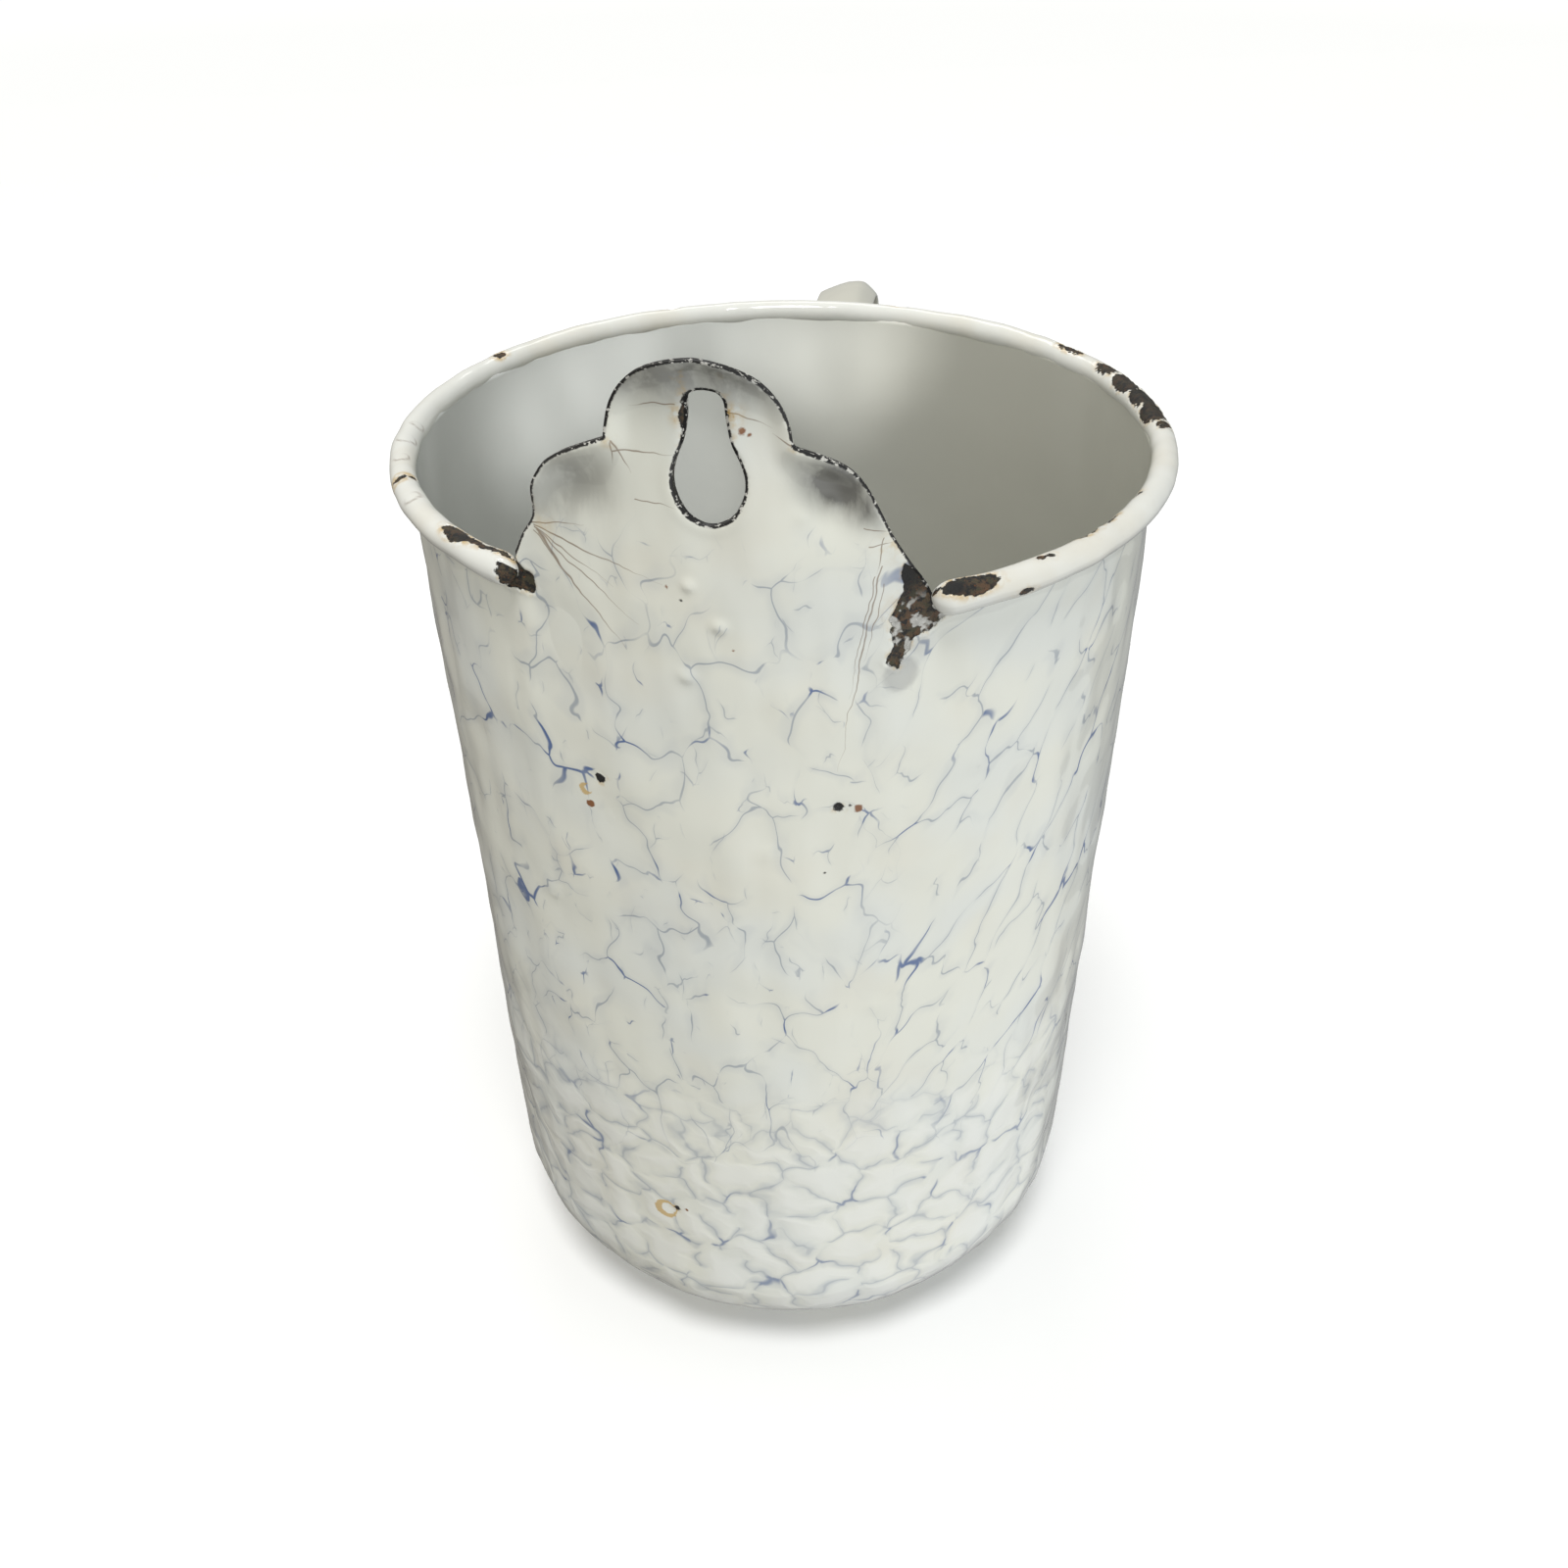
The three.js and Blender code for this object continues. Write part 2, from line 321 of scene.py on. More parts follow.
def front_panel(border, tab, keyhole):
    """Extra (across, h) points and the triangles that fill the front panel.

    border is the panel's own edge, whose points the grid already has, from the upper right
    corner down and round to the upper left one."""
    tab = resample(tab, 0.5)
    ring = np.vstack([border[::-1], tab])
    low, high = ring.min(axis=0), ring.max(axis=0)

    chips = (chip_beside_roll_end(), chip_at_left_roll_end())
    coarse = lattice(PANEL_STEP, low, high)
    fine = lattice(PANEL_STEP / 2, (low[0], chips[0][:, 1].min() - 4),
                   (high[0], chips[0][:, 1].max() + 1))

    def near_chip(points):
        return np.minimum(*(np.where(inside(points, c), 0, distance_to(points, c, True))
                            for c in chips)) < 1.2

    fine = fine[near_chip(fine)]
    coarse = coarse[~near_chip(coarse)]
    filling = np.vstack([coarse, fine])
    clear = np.where(near_chip(filling), 0.3, 0.55) * PANEL_STEP
    filling_gap = np.minimum(distance_to(filling, ring, True), distance_to(filling, keyhole, True))
    keep = inside(filling, ring) & ~inside(filling, keyhole) & (filling_gap > clear)
    filling = filling[keep]

    points = np.vstack([ring, keyhole, filling])
    count, holes = len(ring), len(keyhole)
    edges = [(i, (i + 1) % count) for i in range(count)]
    edges += [(count + i, count + (i + 1) % holes) for i in range(holes)]
    out, _, triangles, origin, _, _ = delaunay_2d_cdt([Vector(p) for p in points], edges, [], 0, 1e-5)
    out = np.array([tuple(p) for p in out])
    triangles = np.array(triangles)
    middle = out[triangles].mean(axis=1)
    triangles = triangles[inside(middle, ring) & ~inside(middle, keyhole)]
    a, b, c = (out[triangles[:, k]] for k in range(3))
    area = (b[:, 0] - a[:, 0]) * (c[:, 1] - a[:, 1]) - (b[:, 1] - a[:, 1]) * (c[:, 0] - a[:, 0])
    triangles[area < 0] = triangles[area < 0][:, ::-1]
    source = [o[0] if o else -1 for o in origin]
    return out, triangles, source, len(border)


def stations(*spans):
    """Values from span to span, each (from, to, step), evened out within its span."""
    values = []
    for start, end, step in spans:
        count = max(1, int(round(abs(end - start) / step)))
        values.extend(np.linspace(start, end, count, endpoint=False))
    return np.array(values + [spans[-1][1]])


def can_grid():
    """The grid's columns, the panel's first, its rings, and the panel's last column."""
    half_turn = math.pi * TOP_RADIUS
    front = stations((-PANEL_HALF_WIDTH, PANEL_HALF_WIDTH, 1.4))
    back = stations((PANEL_HALF_WIDTH, 100, 1.5), (100, half_turn - 9, 2.4),
                    (half_turn - 9, half_turn + 9, 0.8), (half_turn + 9, 2 * half_turn - 100, 2.4),
                    (2 * half_turn - 100, 2 * half_turn - PANEL_HALF_WIDTH, 1.5))
    rings = stations((FOOT_CENTRE + 1.2, FOOT_START, 1.7), (FOOT_START, CORNER_RADIUS, 0.95),
                     (CORNER_RADIUS, PANEL_FOOT, 1.4), (PANEL_FOOT, ROLL_HEIGHT, 0.9))
    return np.concatenate([front, back[1:-1]]), rings, len(front) - 1


def can_sheet():
    """The (across, h) places and the faces of the whole sheet, with the tab and the keyhole."""
    columns, rings, last_front = can_grid()
    joint = int(np.argmin(abs(rings - PANEL_FOOT)))
    wide = len(columns)

    places, index = [], {}
    for j, h in enumerate(rings):
        for i, across in enumerate(columns):
            if j > joint and 0 < i < last_front:
                continue
            index[i, j] = len(places)
            places.append((across, h))
    faces = []
    for j in range(len(rings) - 1):
        for i in range(wide):
            if j >= joint and i < last_front:
                continue
            k = (i + 1) % wide
            faces.append((index[i, j], index[k, j], index[k, j + 1], index[i, j + 1]))
    centre = len(places)
    places.append((0, FOOT_CENTRE))
    faces += [(centre, index[(i + 1) % wide, 0], index[i, 0]) for i in range(wide)]

    top = len(rings) - 1
    border_ids = ([index[last_front, j] for j in range(top, joint, -1)]
                  + [index[i, joint] for i in range(last_front, -1, -1)]
                  + [index[0, j] for j in range(joint + 1, top + 1)])
    border = np.array([places[k] for k in border_ids])
    out, triangles, source, shared = front_panel(border, tab_outline(), keyhole_outline())
    ids = {}
    for k, origin in enumerate(source):
        if 0 <= origin < shared:
            ids[k] = border_ids[::-1][origin]
        else:
            ids[k] = len(places)
            places.append(tuple(out[k]))
    faces += [tuple(ids[k] for k in t) for t in triangles.tolist()]
    return np.array(places), faces


def cut_outlet_hole(places, faces, radius):
    """Opens the wall where the outlet starts, and draws the hole's edge into a circle."""
    points = on_can(places, np.zeros(len(places)))
    from_axis = points[:, [0, 2]] - (0, outlet_height)
    gap = np.linalg.norm(from_axis, axis=1)

    def in_hole(face):
        return points[face[0], 1] > 0 and np.linalg.norm(from_axis[list(face)].mean(axis=0)) < radius

    kept = [face for face in faces if not in_hole(face)]
    used = {v for face in kept for v in face}
    edge = {v for face in faces if in_hole(face) for v in face} & used
    for v in edge:
        across, height = from_axis[v] / max(gap[v], 0.01) * radius + (0, outlet_height)
        h = places[v][1]
        for _ in range(8):  # Newton's steps to the h at that height
            heights = profile(np.array([h, h + 0.01]))[1]
            h -= (heights[0] - height) / ((heights[1] - heights[0]) / 0.01)
        r = profile(np.array([h]))[0][0]
        places[v] = ((math.pi - math.asin(across / r)) * TOP_RADIUS, h)
    order = sorted(used)
    renumber = {v: k for k, v in enumerate(order)}
    return places[order], [tuple(renumber[v] for v in face) for face in kept]


def closed_sheet(places, faces, outer, inner):
    """Points and faces of a solid skin between two offsets from the can's outside."""
    points = np.vstack([on_can(places, outer), on_can(places, inner)])
    count = len(places)
    seen = {}
    for face in faces:
        for a, b in zip(face, face[1:] + face[:1]):
            if (b, a) in seen:
                del seen[b, a]
            else:
                seen[a, b] = True
    solid = list(faces) + [tuple(v + count for v in reversed(f)) for f in faces]
    solid += [(b, a, a + count, b + count) for a, b in seen]
    return points, solid


# ---- what has happened to the enamel, as fields over the sheet ------------------------------

BEADS = [(-4.0, -11.3, 1.5), (7.1, -42.2, 1.4), (1.0, -2.9, 1.2), (-3.0, 3.2, 1.0),
         (-33.0, -60.0, 1.5), (24.0, -75.0, 1.3), (40.0, -30.0, 1.4), (12.8, 13.4, 1.6),
         (16.4, 14.4, 0.9)]  # across, rise, radius
PITS = [(-19.6, -32.5, 1.0), (17.8, -33.6, 0.9), (-12.9, -128.4, 0.8)]

SLOT_CHIPS = [(-2.2, 26.8, 0.55, 3.2), (3.1, 26.8, 0.5, 2.4)]  # across, rise, half width and height


def turn_of(places):
    """Degrees round the can from the tab's middle, -180 to 180."""
    return turned(np.degrees(places[:, 0] / TOP_RADIUS))


def from_spot(places, across, rise):
    """Distance from each place to a spot, whose rise is above the roll's centre."""
    return np.hypot(places[:, 0] - across, places[:, 1] - ROLL_HEIGHT - rise)


def signed_depth(points, outline):
    """How far inside an outline each point is, negative outside it."""
    return np.where(inside(points, outline), 1, -1) * distance_to(points, outline, True)


def chip_field(places, solid_points):
    """How far inside a chip each place is, in millimetres, negative on sound enamel."""
    ragged = 0.55 * fractal(solid_points, 1.6, 4, 3.0)
    depth = np.maximum(signed_depth(places, chip_beside_roll_end()),
                       signed_depth(places, chip_at_left_roll_end()))
    for across, rise, radius in PITS:
        depth = np.maximum(depth, radius - from_spot(places, across, rise))
    for across, rise, half_width, half_height in SLOT_CHIPS:
        reach = np.hypot((places[:, 0] - across) / half_width,
                         (places[:, 1] - ROLL_HEIGHT - rise) / half_height)
        depth = np.maximum(depth, (1 - reach) * half_width)
    return np.maximum(depth + ragged * (depth > -1.5), -3)


def tab_lean(places, edge):
    """How far the tab stands forward of the wall's curve: the lobe hoods, the shoulders dish."""
    across, rise = places[:, 0], places[:, 1] - ROLL_HEIGHT
    crease = 27.6 - 0.22 * abs(across + 0.2)
    over = np.clip(rise - crease, 0, None)
    lobe = 0.062 * over ** 2 * smooth(-0.5, 2.5, over)
    curl = 1.7 * bump(edge, 3.0) * smooth(9, 16, rise) * smooth(7, 13, abs(across + 0.6))
    dish = (-2.1 * bump(np.hypot((across - 16.6) / 1.15, rise - 16.2), 4.3)
            - 1.3 * bump(np.hypot((across + 18.5) / 1.1, rise - 15.0), 4.2))
    seat = 0.5 * bump(np.hypot((across - 0.5) / 0.75, rise - 18), 9.5)
    return lobe + curl + dish + seat


def under_roll(places):
    """The enamel that fills the corner between the wall and the roll."""
    clear = smooth(TAB_EDGE_ANGLE - 1.5, TAB_EDGE_ANGLE + 2.5, abs(turn_of(places)))
    return 0.95 * clear * bump(ROLL_HEIGHT - 1.4 - places[:, 1], 1.7)


def folds(places):
    """Two soft ridges the drawing left, down from the tab's feet."""
    rise = places[:, 1] - ROLL_HEIGHT
    fading = smooth(-62, -12, rise) * smooth(0, -9, rise)
    left = bump(places[:, 0] + 29.5 - 0.05 * rise, 2.6)
    right = bump(places[:, 0] - 24.5 + 0.03 * rise, 2.4)
    hollow = bump(places[:, 0] - 31.0, 4.5) + bump(places[:, 0] + 22.5, 4.0)
    return fading * (0.5 * left + 0.55 * right - 0.3 * hollow)


def outside_relief(places, solid_points, edge, chip):
    """Sags, runs, beads and chips of the outer coat, outward."""
    slow = 0.38 * fractal(solid_points, 15.0, 2, 1.0)
    runs = 0.32 * fractal(solid_points * (1, 1, 0.3), 6.5, 2, 2.0)
    relief = slow + runs + folds(places) + 0.14 * bump(edge - 0.9, 0.8) + under_roll(places)
    for across, rise, radius in BEADS:
        relief += 0.55 * bump(from_spot(places, across, rise), radius * 0.8)
    sunk = ENAMEL * smooth(-0.12, 0.18, chip)
    lip = 0.10 * bump(chip + 0.5, 0.4) * (chip < 0.1)
    return relief - sunk + lip


# Soft marks on the wall and the tab, painted shade and dark reflection in the dished shoulders with
# streaks of thin enamel: strength, across, rise, radius.
SHADE_AND_THIN_ENAMEL_MARKS = [(1.8, 17.2, 17.6, 3.0), (0.8, 20.4, 14.0, 2.6), (0.5, 14.0, 19.6, 3.4),
           (0.54, -18.0, 17.2, 5.6), (0.30, -21.5, 12.0, 3.8)]
RUST_MARKS = [(1.0, -2.8, 27.4, 1.3), (1.0, 3.7, 27.4, 1.4), (0.8, 26.0, -1.5, 2.2),
              (0.7, -12.2, 23.0, 0.8), (0.6, 11.4, 23.4, 0.9), (0.5, 24.5, 8.6, 2.0),
              (0.35, -24.5, 8.4, 1.8)]
SOOT_MARKS = [(1.2, 26.2, 3.6, 2.6)]
BRUISE = (26.3, -11.6)  # a grey disc below the big chip
BRUISE_MARKS = [(0.6, 28.6, -8.0, 1.9)]


def marks_at(places, marks):
    """The sum of the marks at each place: each is full at its middle and fades softly."""
    return sum(strength * bump(from_spot(places, across, rise), radius)
               for strength, across, rise, radius in marks)


def make_can(outside_material, lining_material):
    """The sheet in two skins, outside and lining, that meet in the middle of the steel."""
    places, faces = can_sheet()
    places, faces = cut_outlet_hole(places, faces, OUTLET_BORE + 0.1)
    level = on_can(places, np.zeros(len(places)))
    rise = places[:, 1] - ROLL_HEIGHT
    near_tab = (abs(places[:, 0]) < PANEL_HALF_WIDTH + 1) & (places[:, 1] > PANEL_FOOT - 1)
    edge = np.full(len(places), 9.0)
    edge[near_tab] = np.minimum(distance_to(places[near_tab], tab_outline()),
                                distance_to(places[near_tab], keyhole_outline(), True))
    chip = chip_field(places, level)
    lean = tab_lean(places, edge) * near_tab
    relief = outside_relief(places, level, edge, chip)
    middle = -SHEET / 2

    points, solid = closed_sheet(places, faces, lean + relief, lean + middle + CORE_GAP)
    outside = new_piece("can_outside", points, solid, "body_can",
                        outside_material)
    fields = {
        "edge": edge, "chip": chip, "develop": places[:, 1],
        "bruise": smooth(3.2, 2.3, from_spot(places, *BRUISE)) + marks_at(places, BRUISE_MARKS),
        # painted shade: the shoulder marks, and the last term darkens the lobe's top, which leans
        # forward
        "smudge": marks_at(places, SHADE_AND_THIN_ENAMEL_MARKS) + 0.78 * smooth(26.5, 33.0, rise),
        "rust": marks_at(places, RUST_MARKS),
        "soot": marks_at(places, SOOT_MARKS),
        "flakes": smooth(1.5, -1.5, rise) * (places[:, 0] > 0),
    }
    paint(outside, **{name: np.tile(values, 2) for name, values in fields.items()})

    ripple = 0.10 * fractal(level, 21.0, 2, 5.0)
    inner = -SHEET - 0.12 * bump(edge - 0.9, 0.8) + ripple
    points, solid = closed_sheet(places, faces, lean + middle - CORE_GAP, lean + inner)
    lining = new_piece("can_lining", points, solid, "body_can", lining_material)
    paint(lining, edge=np.tile(edge, 2))
    return lining


# ---- the rolled rim -------------------------------------------------------------------------

ROLL_TIP = 2.6  # the length over which the roll's ends round off

# Degrees round the can, degrees round the roll (0 outward, 90 up), half length, half width,
# and how much yellow rust lies round it.
ROLL_CHIPS = [
    (-40.0, 86, 3.2, 1.5, 1.0), (-36.0, 98, 3.8, 0.8, 0.5), (-31.5, 108, 2.8, 0.5, 0.8),
    (-61.5, 62, 0.5, 2.3, 0.9), (-113.5, 100, 1.1, 0.9, 0.9),
    (33.0, 66, 4.0, 1.8, 0.9), (44.5, 92, 0.5, 0.4, 0.1), (46.0, 84, 0.4, 0.3, 0.1),
    (41.0, -36, 1.4, 0.7, 0.2), (55.0, 128, 2.8, 0.9, 1.0), (61.0, 132, 2.0, 0.6, 0.9),
    (71.0, 135, 1.4, 0.7, 0.2), (27.6, 95, 1.6, 1.0, 0.3),
    (168.0, 70, 1.2, 0.6, 0.4), (-150.0, 60, 1.6, 0.7, 0.5), (-172.0, 20, 1.2, 0.9, 0.5),
]
SCUFFS = [  # the combed chips at the back right
    (131.5, 88, 3.2, 1.1, 0.8), (121.0, 96, 2.6, 1.6, 0.2), (114.3, 96, 3.9, 2.3, 0.2),
    (108.0, 98, 3.4, 2.2, 0.3), (102.0, 98, 3.9, 2.8, 0.5), (96.6, 78, 1.6, 1.4, 0.2),
]
# Hairline loops in the glaze: degrees round the can, degrees round the roll, size.
CURLS = [(-76.0, 105, 1.7), (-69.0, 88, 1.4), (-54.5, 72, 1.5), (-82.0, 128, 1.2)]


def round_roll(turn, phi, chip_turn, chip_phi):
    """Distances from a place on the roll, along it and round it, in millimetres."""
    along = np.radians(turn - chip_turn) * ROLL_CENTRE
    across = np.radians(turned(phi - chip_phi)) * ROLL_RADIUS
    return along, across


def roll_damage(turn, phi, level, from_end):
    """The fields that the roll's material reads: chip, stain, curl and soot."""
    ragged = 0.55 * fractal(level, 1.3, 4, 9.0)
    round_way = np.radians(phi) * ROLL_RADIUS
    slanted = (np.radians(turn) * ROLL_CENTRE + 0.9 * round_way) / 0.55
    combed = np.stack([slanted, round_way / 3.0, np.zeros(len(turn))], 1)
    strokes = 1.15 * fractal(combed, 1.0, 2, 10.0)
    chip = np.full(len(turn), -3.0)
    stain = np.zeros(len(turn))
    for marks, roughness in ((ROLL_CHIPS, ragged), (SCUFFS, strokes)):
        for chip_turn, chip_phi, length, width, yellow in marks:
            along, across = round_roll(turn, phi, chip_turn, chip_phi)
            depth = (1 - np.hypot(along / length, across / width)) * min(length, width)
            chip = np.maximum(chip, depth + roughness * (depth > -1.2))
            wide = np.hypot(along / (length + 1.6), across / (width + 0.8))
            stain = np.maximum(stain, yellow * smooth(1.15, 0.6, wide))
    left_end = (turn < 0) & (abs(turned(phi + 25)) < 88)
    bare_tip = np.where(left_end, 1.5 - from_end, -3) + ragged
    chip = np.clip(np.maximum(chip, bare_tip), -3, 3)
    soot = (1.4 * bump(np.hypot((turn - 30.8) / 1.7, (phi - 66) / 40), 1.0)
            + bump(np.hypot((turn + 38.6) / 2.0, (phi - 90) / 40), 1.0)
            + 0.7 * bump(turn - 109, 12.0))
    curl = np.zeros(len(turn))
    for curl_turn, curl_phi, size in CURLS:
        along, across = round_roll(turn, phi, curl_turn, curl_phi)
        ring = np.hypot(along * 1.2, across) + 0.5 * ragged
        open_side = smooth(-1.4, 0.4, along + 0.4 * across)
        curl = np.maximum(curl, bump(ring - size, 0.22) * open_side)
    return {"chip": chip, "stain": stain, "curl": curl, "soot": soot}


def with_end_caps(points, columns, faces):
    """Closes both ends of a tube of points, numbered ring by ring, with a fan."""
    first, last = len(points), len(points) + 1
    base = first - columns
    points = np.vstack([points, points[:columns].mean(axis=0), points[-columns:].mean(axis=0)])
    faces += [(first, (j + 1) % columns, j) for j in range(columns)]
    faces += [(last, base + j, base + (j + 1) % columns) for j in range(columns)]
    return points, faces


def make_roll(material):
    end = TAB_EDGE_ANGLE
    turns = stations((end, end + 3, 0.16), (end + 3, 75, 0.42), (75, 88, 0.6), (88, 140, 0.42),
                     (140, 245, 0.8), (245, 357 - end, 0.42), (357 - end, 360 - end, 0.16))
    phis = np.linspace(0, 360, 40, endpoint=False)
    turn, phi = (grid.ravel() for grid in np.meshgrid(turns, phis, indexing="ij"))
    from_end = np.radians(np.minimum(turn - end, 360 - end - turn)) * ROLL_CENTRE + 0.03
    tip = rounded_end(from_end, ROLL_TIP)
    level = on_roll(turn, phi, np.full(len(turn), ROLL_RADIUS), 0)
    damage = roll_damage(turned(turn), phi, level, from_end)
    swell = 0.22 * bump(from_end - 3.2, 2.6)
    foot = 0.55 * bump(turned(phi + 100), 38.0)  # the enamel that fills the corner below it
    lumps = 0.17 * fractal(level, 8.0, 2, 7.0) + 0.10 * fractal(level, 30.0, 1, 8.0)
    sunk = 0.24 * smooth(-0.1, 0.2, damage["chip"]) * tip
    radius = (ROLL_RADIUS + swell + foot + lumps) * tip - sunk
    points = on_roll(turn, phi, radius, 0.7 * (1 - tip))
    points, faces = with_end_caps(points, len(phis), grid_faces(len(turns), len(phis)))
    piece = new_piece("rim_roll", points, faces, "body_can", material)
    at_caps = {"chip": [-3, 1], "stain": [0, 0], "curl": [0, 0], "soot": [0, 0]}
    paint(piece, **{name: np.append(damage[name], ends) for name, ends in at_caps.items()})


def on_roll(turn, phi, radius, inward):
    angle, around = np.radians(turn), np.radians(phi)
    out = ROLL_CENTRE - inward + radius * np.cos(around)
    return np.stack([out * np.sin(angle), -out * np.cos(angle),
                     ROLL_HEIGHT + radius * np.sin(around)], 1)


# ---- the strap handle -----------------------------------------------------------------------

def strap_line():
    """The strap's centre line as (out, height), from its upper end round to its lower end."""
    top, foot = strap_high[2], strap_low[2]
    upper_out, lower_out = (profile(np.array([h]))[0][0] + STRAP_HALF + 0.3
                            for h in (top - UPPER_PAD, foot + LOWER_PAD))
    upper_pad = (upper_out, top - UPPER_PAD)
    crest = (CREST_REACH, top - STRAP_HALF - 0.4)
    outer = (strap_high[1] - STRAP_HALF, top - 20)
    lower = (outer[0] - 3, foot + 33)
    lower_pad = (lower_out, foot + LOWER_PAD)
    line = np.vstack([
        bezier((upper_out, top - 25), (upper_out, top - 20), (upper_out, top - 16), upper_pad),
        bezier(upper_pad, (upper_out, upper_pad[1] + 6), (crest[0] - 12, crest[1]), crest, 24),
        bezier(crest, (crest[0] + 6, crest[1]), (outer[0], outer[1] + 11), outer, 24),
        bezier(outer, (outer[0], outer[1] - 16), (lower[0] + 1, lower[1] + 14), lower, 20),
        bezier(lower, (lower[0] - 2, lower[1] - 20), (lower_out, lower_pad[1] + 10), lower_pad, 24),
        bezier(lower_pad, (lower_out, lower_pad[1] - 4), (lower_out, foot + 5), (lower_out, foot)),
        [(lower_out, foot)],
    ])
    return resample(line, STRAP_STEP)


def strap_section(out, height, normal, half_width, flat, thin, domed):
    """A ring of points round the strap's centre line: a flat oval, crowned away from the wall."""
    c, s = np.cos(STRAP_AROUND), np.sin(STRAP_AROUND)
    x = half_width * np.sign(c) * abs(c) ** 0.55
    crown = domed * 2.1 * smooth(-6.6, 1.6, x) * smooth(6.8, 2.6, x)
    thick = (STRAP_HALF - 0.25 - 0.35 * flat) * (0.35 + 0.65 * thin)
    lift = thick * np.sign(s) * abs(s) ** 0.8 + crown - 1.1 * domed
    hug = flat * x ** 2 / (2 * TOP_RADIUS)
    return np.stack([x, out + lift * normal[0] - hug, height + lift * normal[1]], 1)


def make_strap(material):
    line = strap_line()
    run = np.arange(len(line)) * STRAP_STEP
    along = np.gradient(line, axis=0)
    along /= np.linalg.norm(along, axis=1)[:, None]
    normals = np.stack([-along[:, 1], along[:, 0]], 1)  # away from the middle of the loop
    from_end = np.minimum(run, run[-1] - run) + 0.05
    tongue = rounded_end(from_end, STRAP_TONGUE)
    flatten = smooth(13, 4, from_end)
    half_widths = (strap_high[0] + 0.8 * flatten) * tongue
    crowned = smooth(4.0, 11.0, line[:, 0] - profile(line[:, 1])[0])
    points = np.vstack([
        strap_section(*station)
        for station in zip(*line.T, normals, half_widths, flatten, tongue, crowned)
    ])
    columns = len(STRAP_AROUND)
    centre = np.repeat([(0, out, height) for out, height in line], columns, axis=0)
    points = pushed_out(points, centre, 0.13 * fractal(points, 9.0, 2, 12.0))
    points, faces = with_end_caps(points, columns, grid_faces(len(line), columns))
    new_piece("handle_strap_enamel", points, faces, "handle_strap", material)


# ---- the hose outlet ------------------------------------------------------------------------

def seat_on_can(radius, around, out):
    """Where a ring round the outlet's axis meets the can, out millimetres off its outside."""
    x = radius * np.cos(around)
    z = outlet_height + radius * np.sin(around)
    rise = np.clip(z - CORNER_RADIUS, -CORNER_RADIUS, None)
    corner = FLAT_RADIUS + np.sqrt(np.clip((CORNER_RADIUS + out) ** 2 - rise ** 2, 0, None))
    wall = FOOT_RADIUS + out + WALL_SLOPE * rise
    r = np.where(rise < 0, corner, wall)
    return np.stack([x, np.sqrt(r ** 2 - x ** 2), z], 1)


def outlet_ring(radius, y, around):
    return np.stack([radius * np.cos(around), np.full(len(around), y),
                     outlet_height + radius * np.sin(around)], 1)


def outlet_rings(around):
    """Rings out along the flare, over the bead and the lip, and back through the bore."""
    flare, root = spout_high[0], FOOT_RADIUS - 2
    rings = [seat_on_can(flare + 0.5, around, -0.15), seat_on_can(flare + 0.5, around, 0.35),
             seat_on_can(flare, around, 0.75)]
    for t in np.linspace(0.15, 1, 12):
        radius = OUTLET_RADIUS + (flare - OUTLET_RADIUS) * (1 - t) ** 2.4
        seat = seat_on_can(radius, around, 0.75 + 2.5 * t)
        tube = outlet_ring(radius, root + 11 * t, around)
        rings.append(seat * (1 - t ** 1.5) + tube * t ** 1.5)
    for y in np.linspace(root + 12.5, outlet_reach - 0.4, 44):
        swell = (HOSE_BEAD - OUTLET_RADIUS) * bump(y - bead_reach, 1.5)
        neck = 0.18 * bump(y - bead_reach + 4, 1.4)
        taper = LIP_TAPER * smooth(bead_reach + 2, outlet_reach, y)
        rings.append(outlet_ring(OUTLET_RADIUS + swell - neck - taper, y, around))
    lip = (OUTLET_RADIUS - LIP_TAPER + OUTLET_BORE) / 2
    half_lip = (OUTLET_RADIUS - LIP_TAPER - OUTLET_BORE) / 2
    for a in np.radians(np.linspace(20, 160, 6)):
        y = outlet_reach - 0.4 + 0.4 * math.sin(a)
        rings.append(outlet_ring(lip + half_lip * math.cos(a), y, around))
    for y in np.linspace(outlet_reach - 0.5, root + 3, 24):
        rings.append(outlet_ring(OUTLET_BORE, y, around))
    for wider, out in ((0.0, -0.9), (0.1, -1.35), (1.2, -1.3), (1.4, -0.9)):
        rings.append(seat_on_can(OUTLET_BORE + wider, around, out))
    return rings


def make_spout(material):
    around = np.radians(np.linspace(0, 360, 56, endpoint=False))
    rings = outlet_rings(around)
    points = np.vstack(rings)
    axis = points * (0, 1, 0) + (0, 0, outlet_height)
    reach = np.linalg.norm(points - axis, axis=1)
    lumps = 0.10 * fractal(points, 6.0, 2, 15.0) * smooth(3.4, 4.2, reach)
    points = pushed_out(points, axis, lumps)
    piece = new_piece("outlet_spout_enamel", points,
                      grid_faces(len(rings), len(around), wrap_rows=True),
                      "outlet_spout", material)
    worn = np.maximum(1.1 - 0.9 * abs(points[:, 1] - outlet_reach),
                      0.55 - abs(points[:, 1] - bead_reach))
    chip = worn + 0.9 * fractal(points, 1.8, 3, 16.0) - 0.35
    paint(piece, chip=np.clip(chip, -3, 2))


# ---- node materials -------------------------------------------------------------------------

def rgb(red, green, blue):
    """A colour given in screen values, 0 to 255, as the shader wants it."""
    return tuple((c / 255 / 12.92) if c < 11 else ((c / 255 + 0.055) / 1.055) ** 2.4
                 for c in (red, green, blue)) + (1.0,)


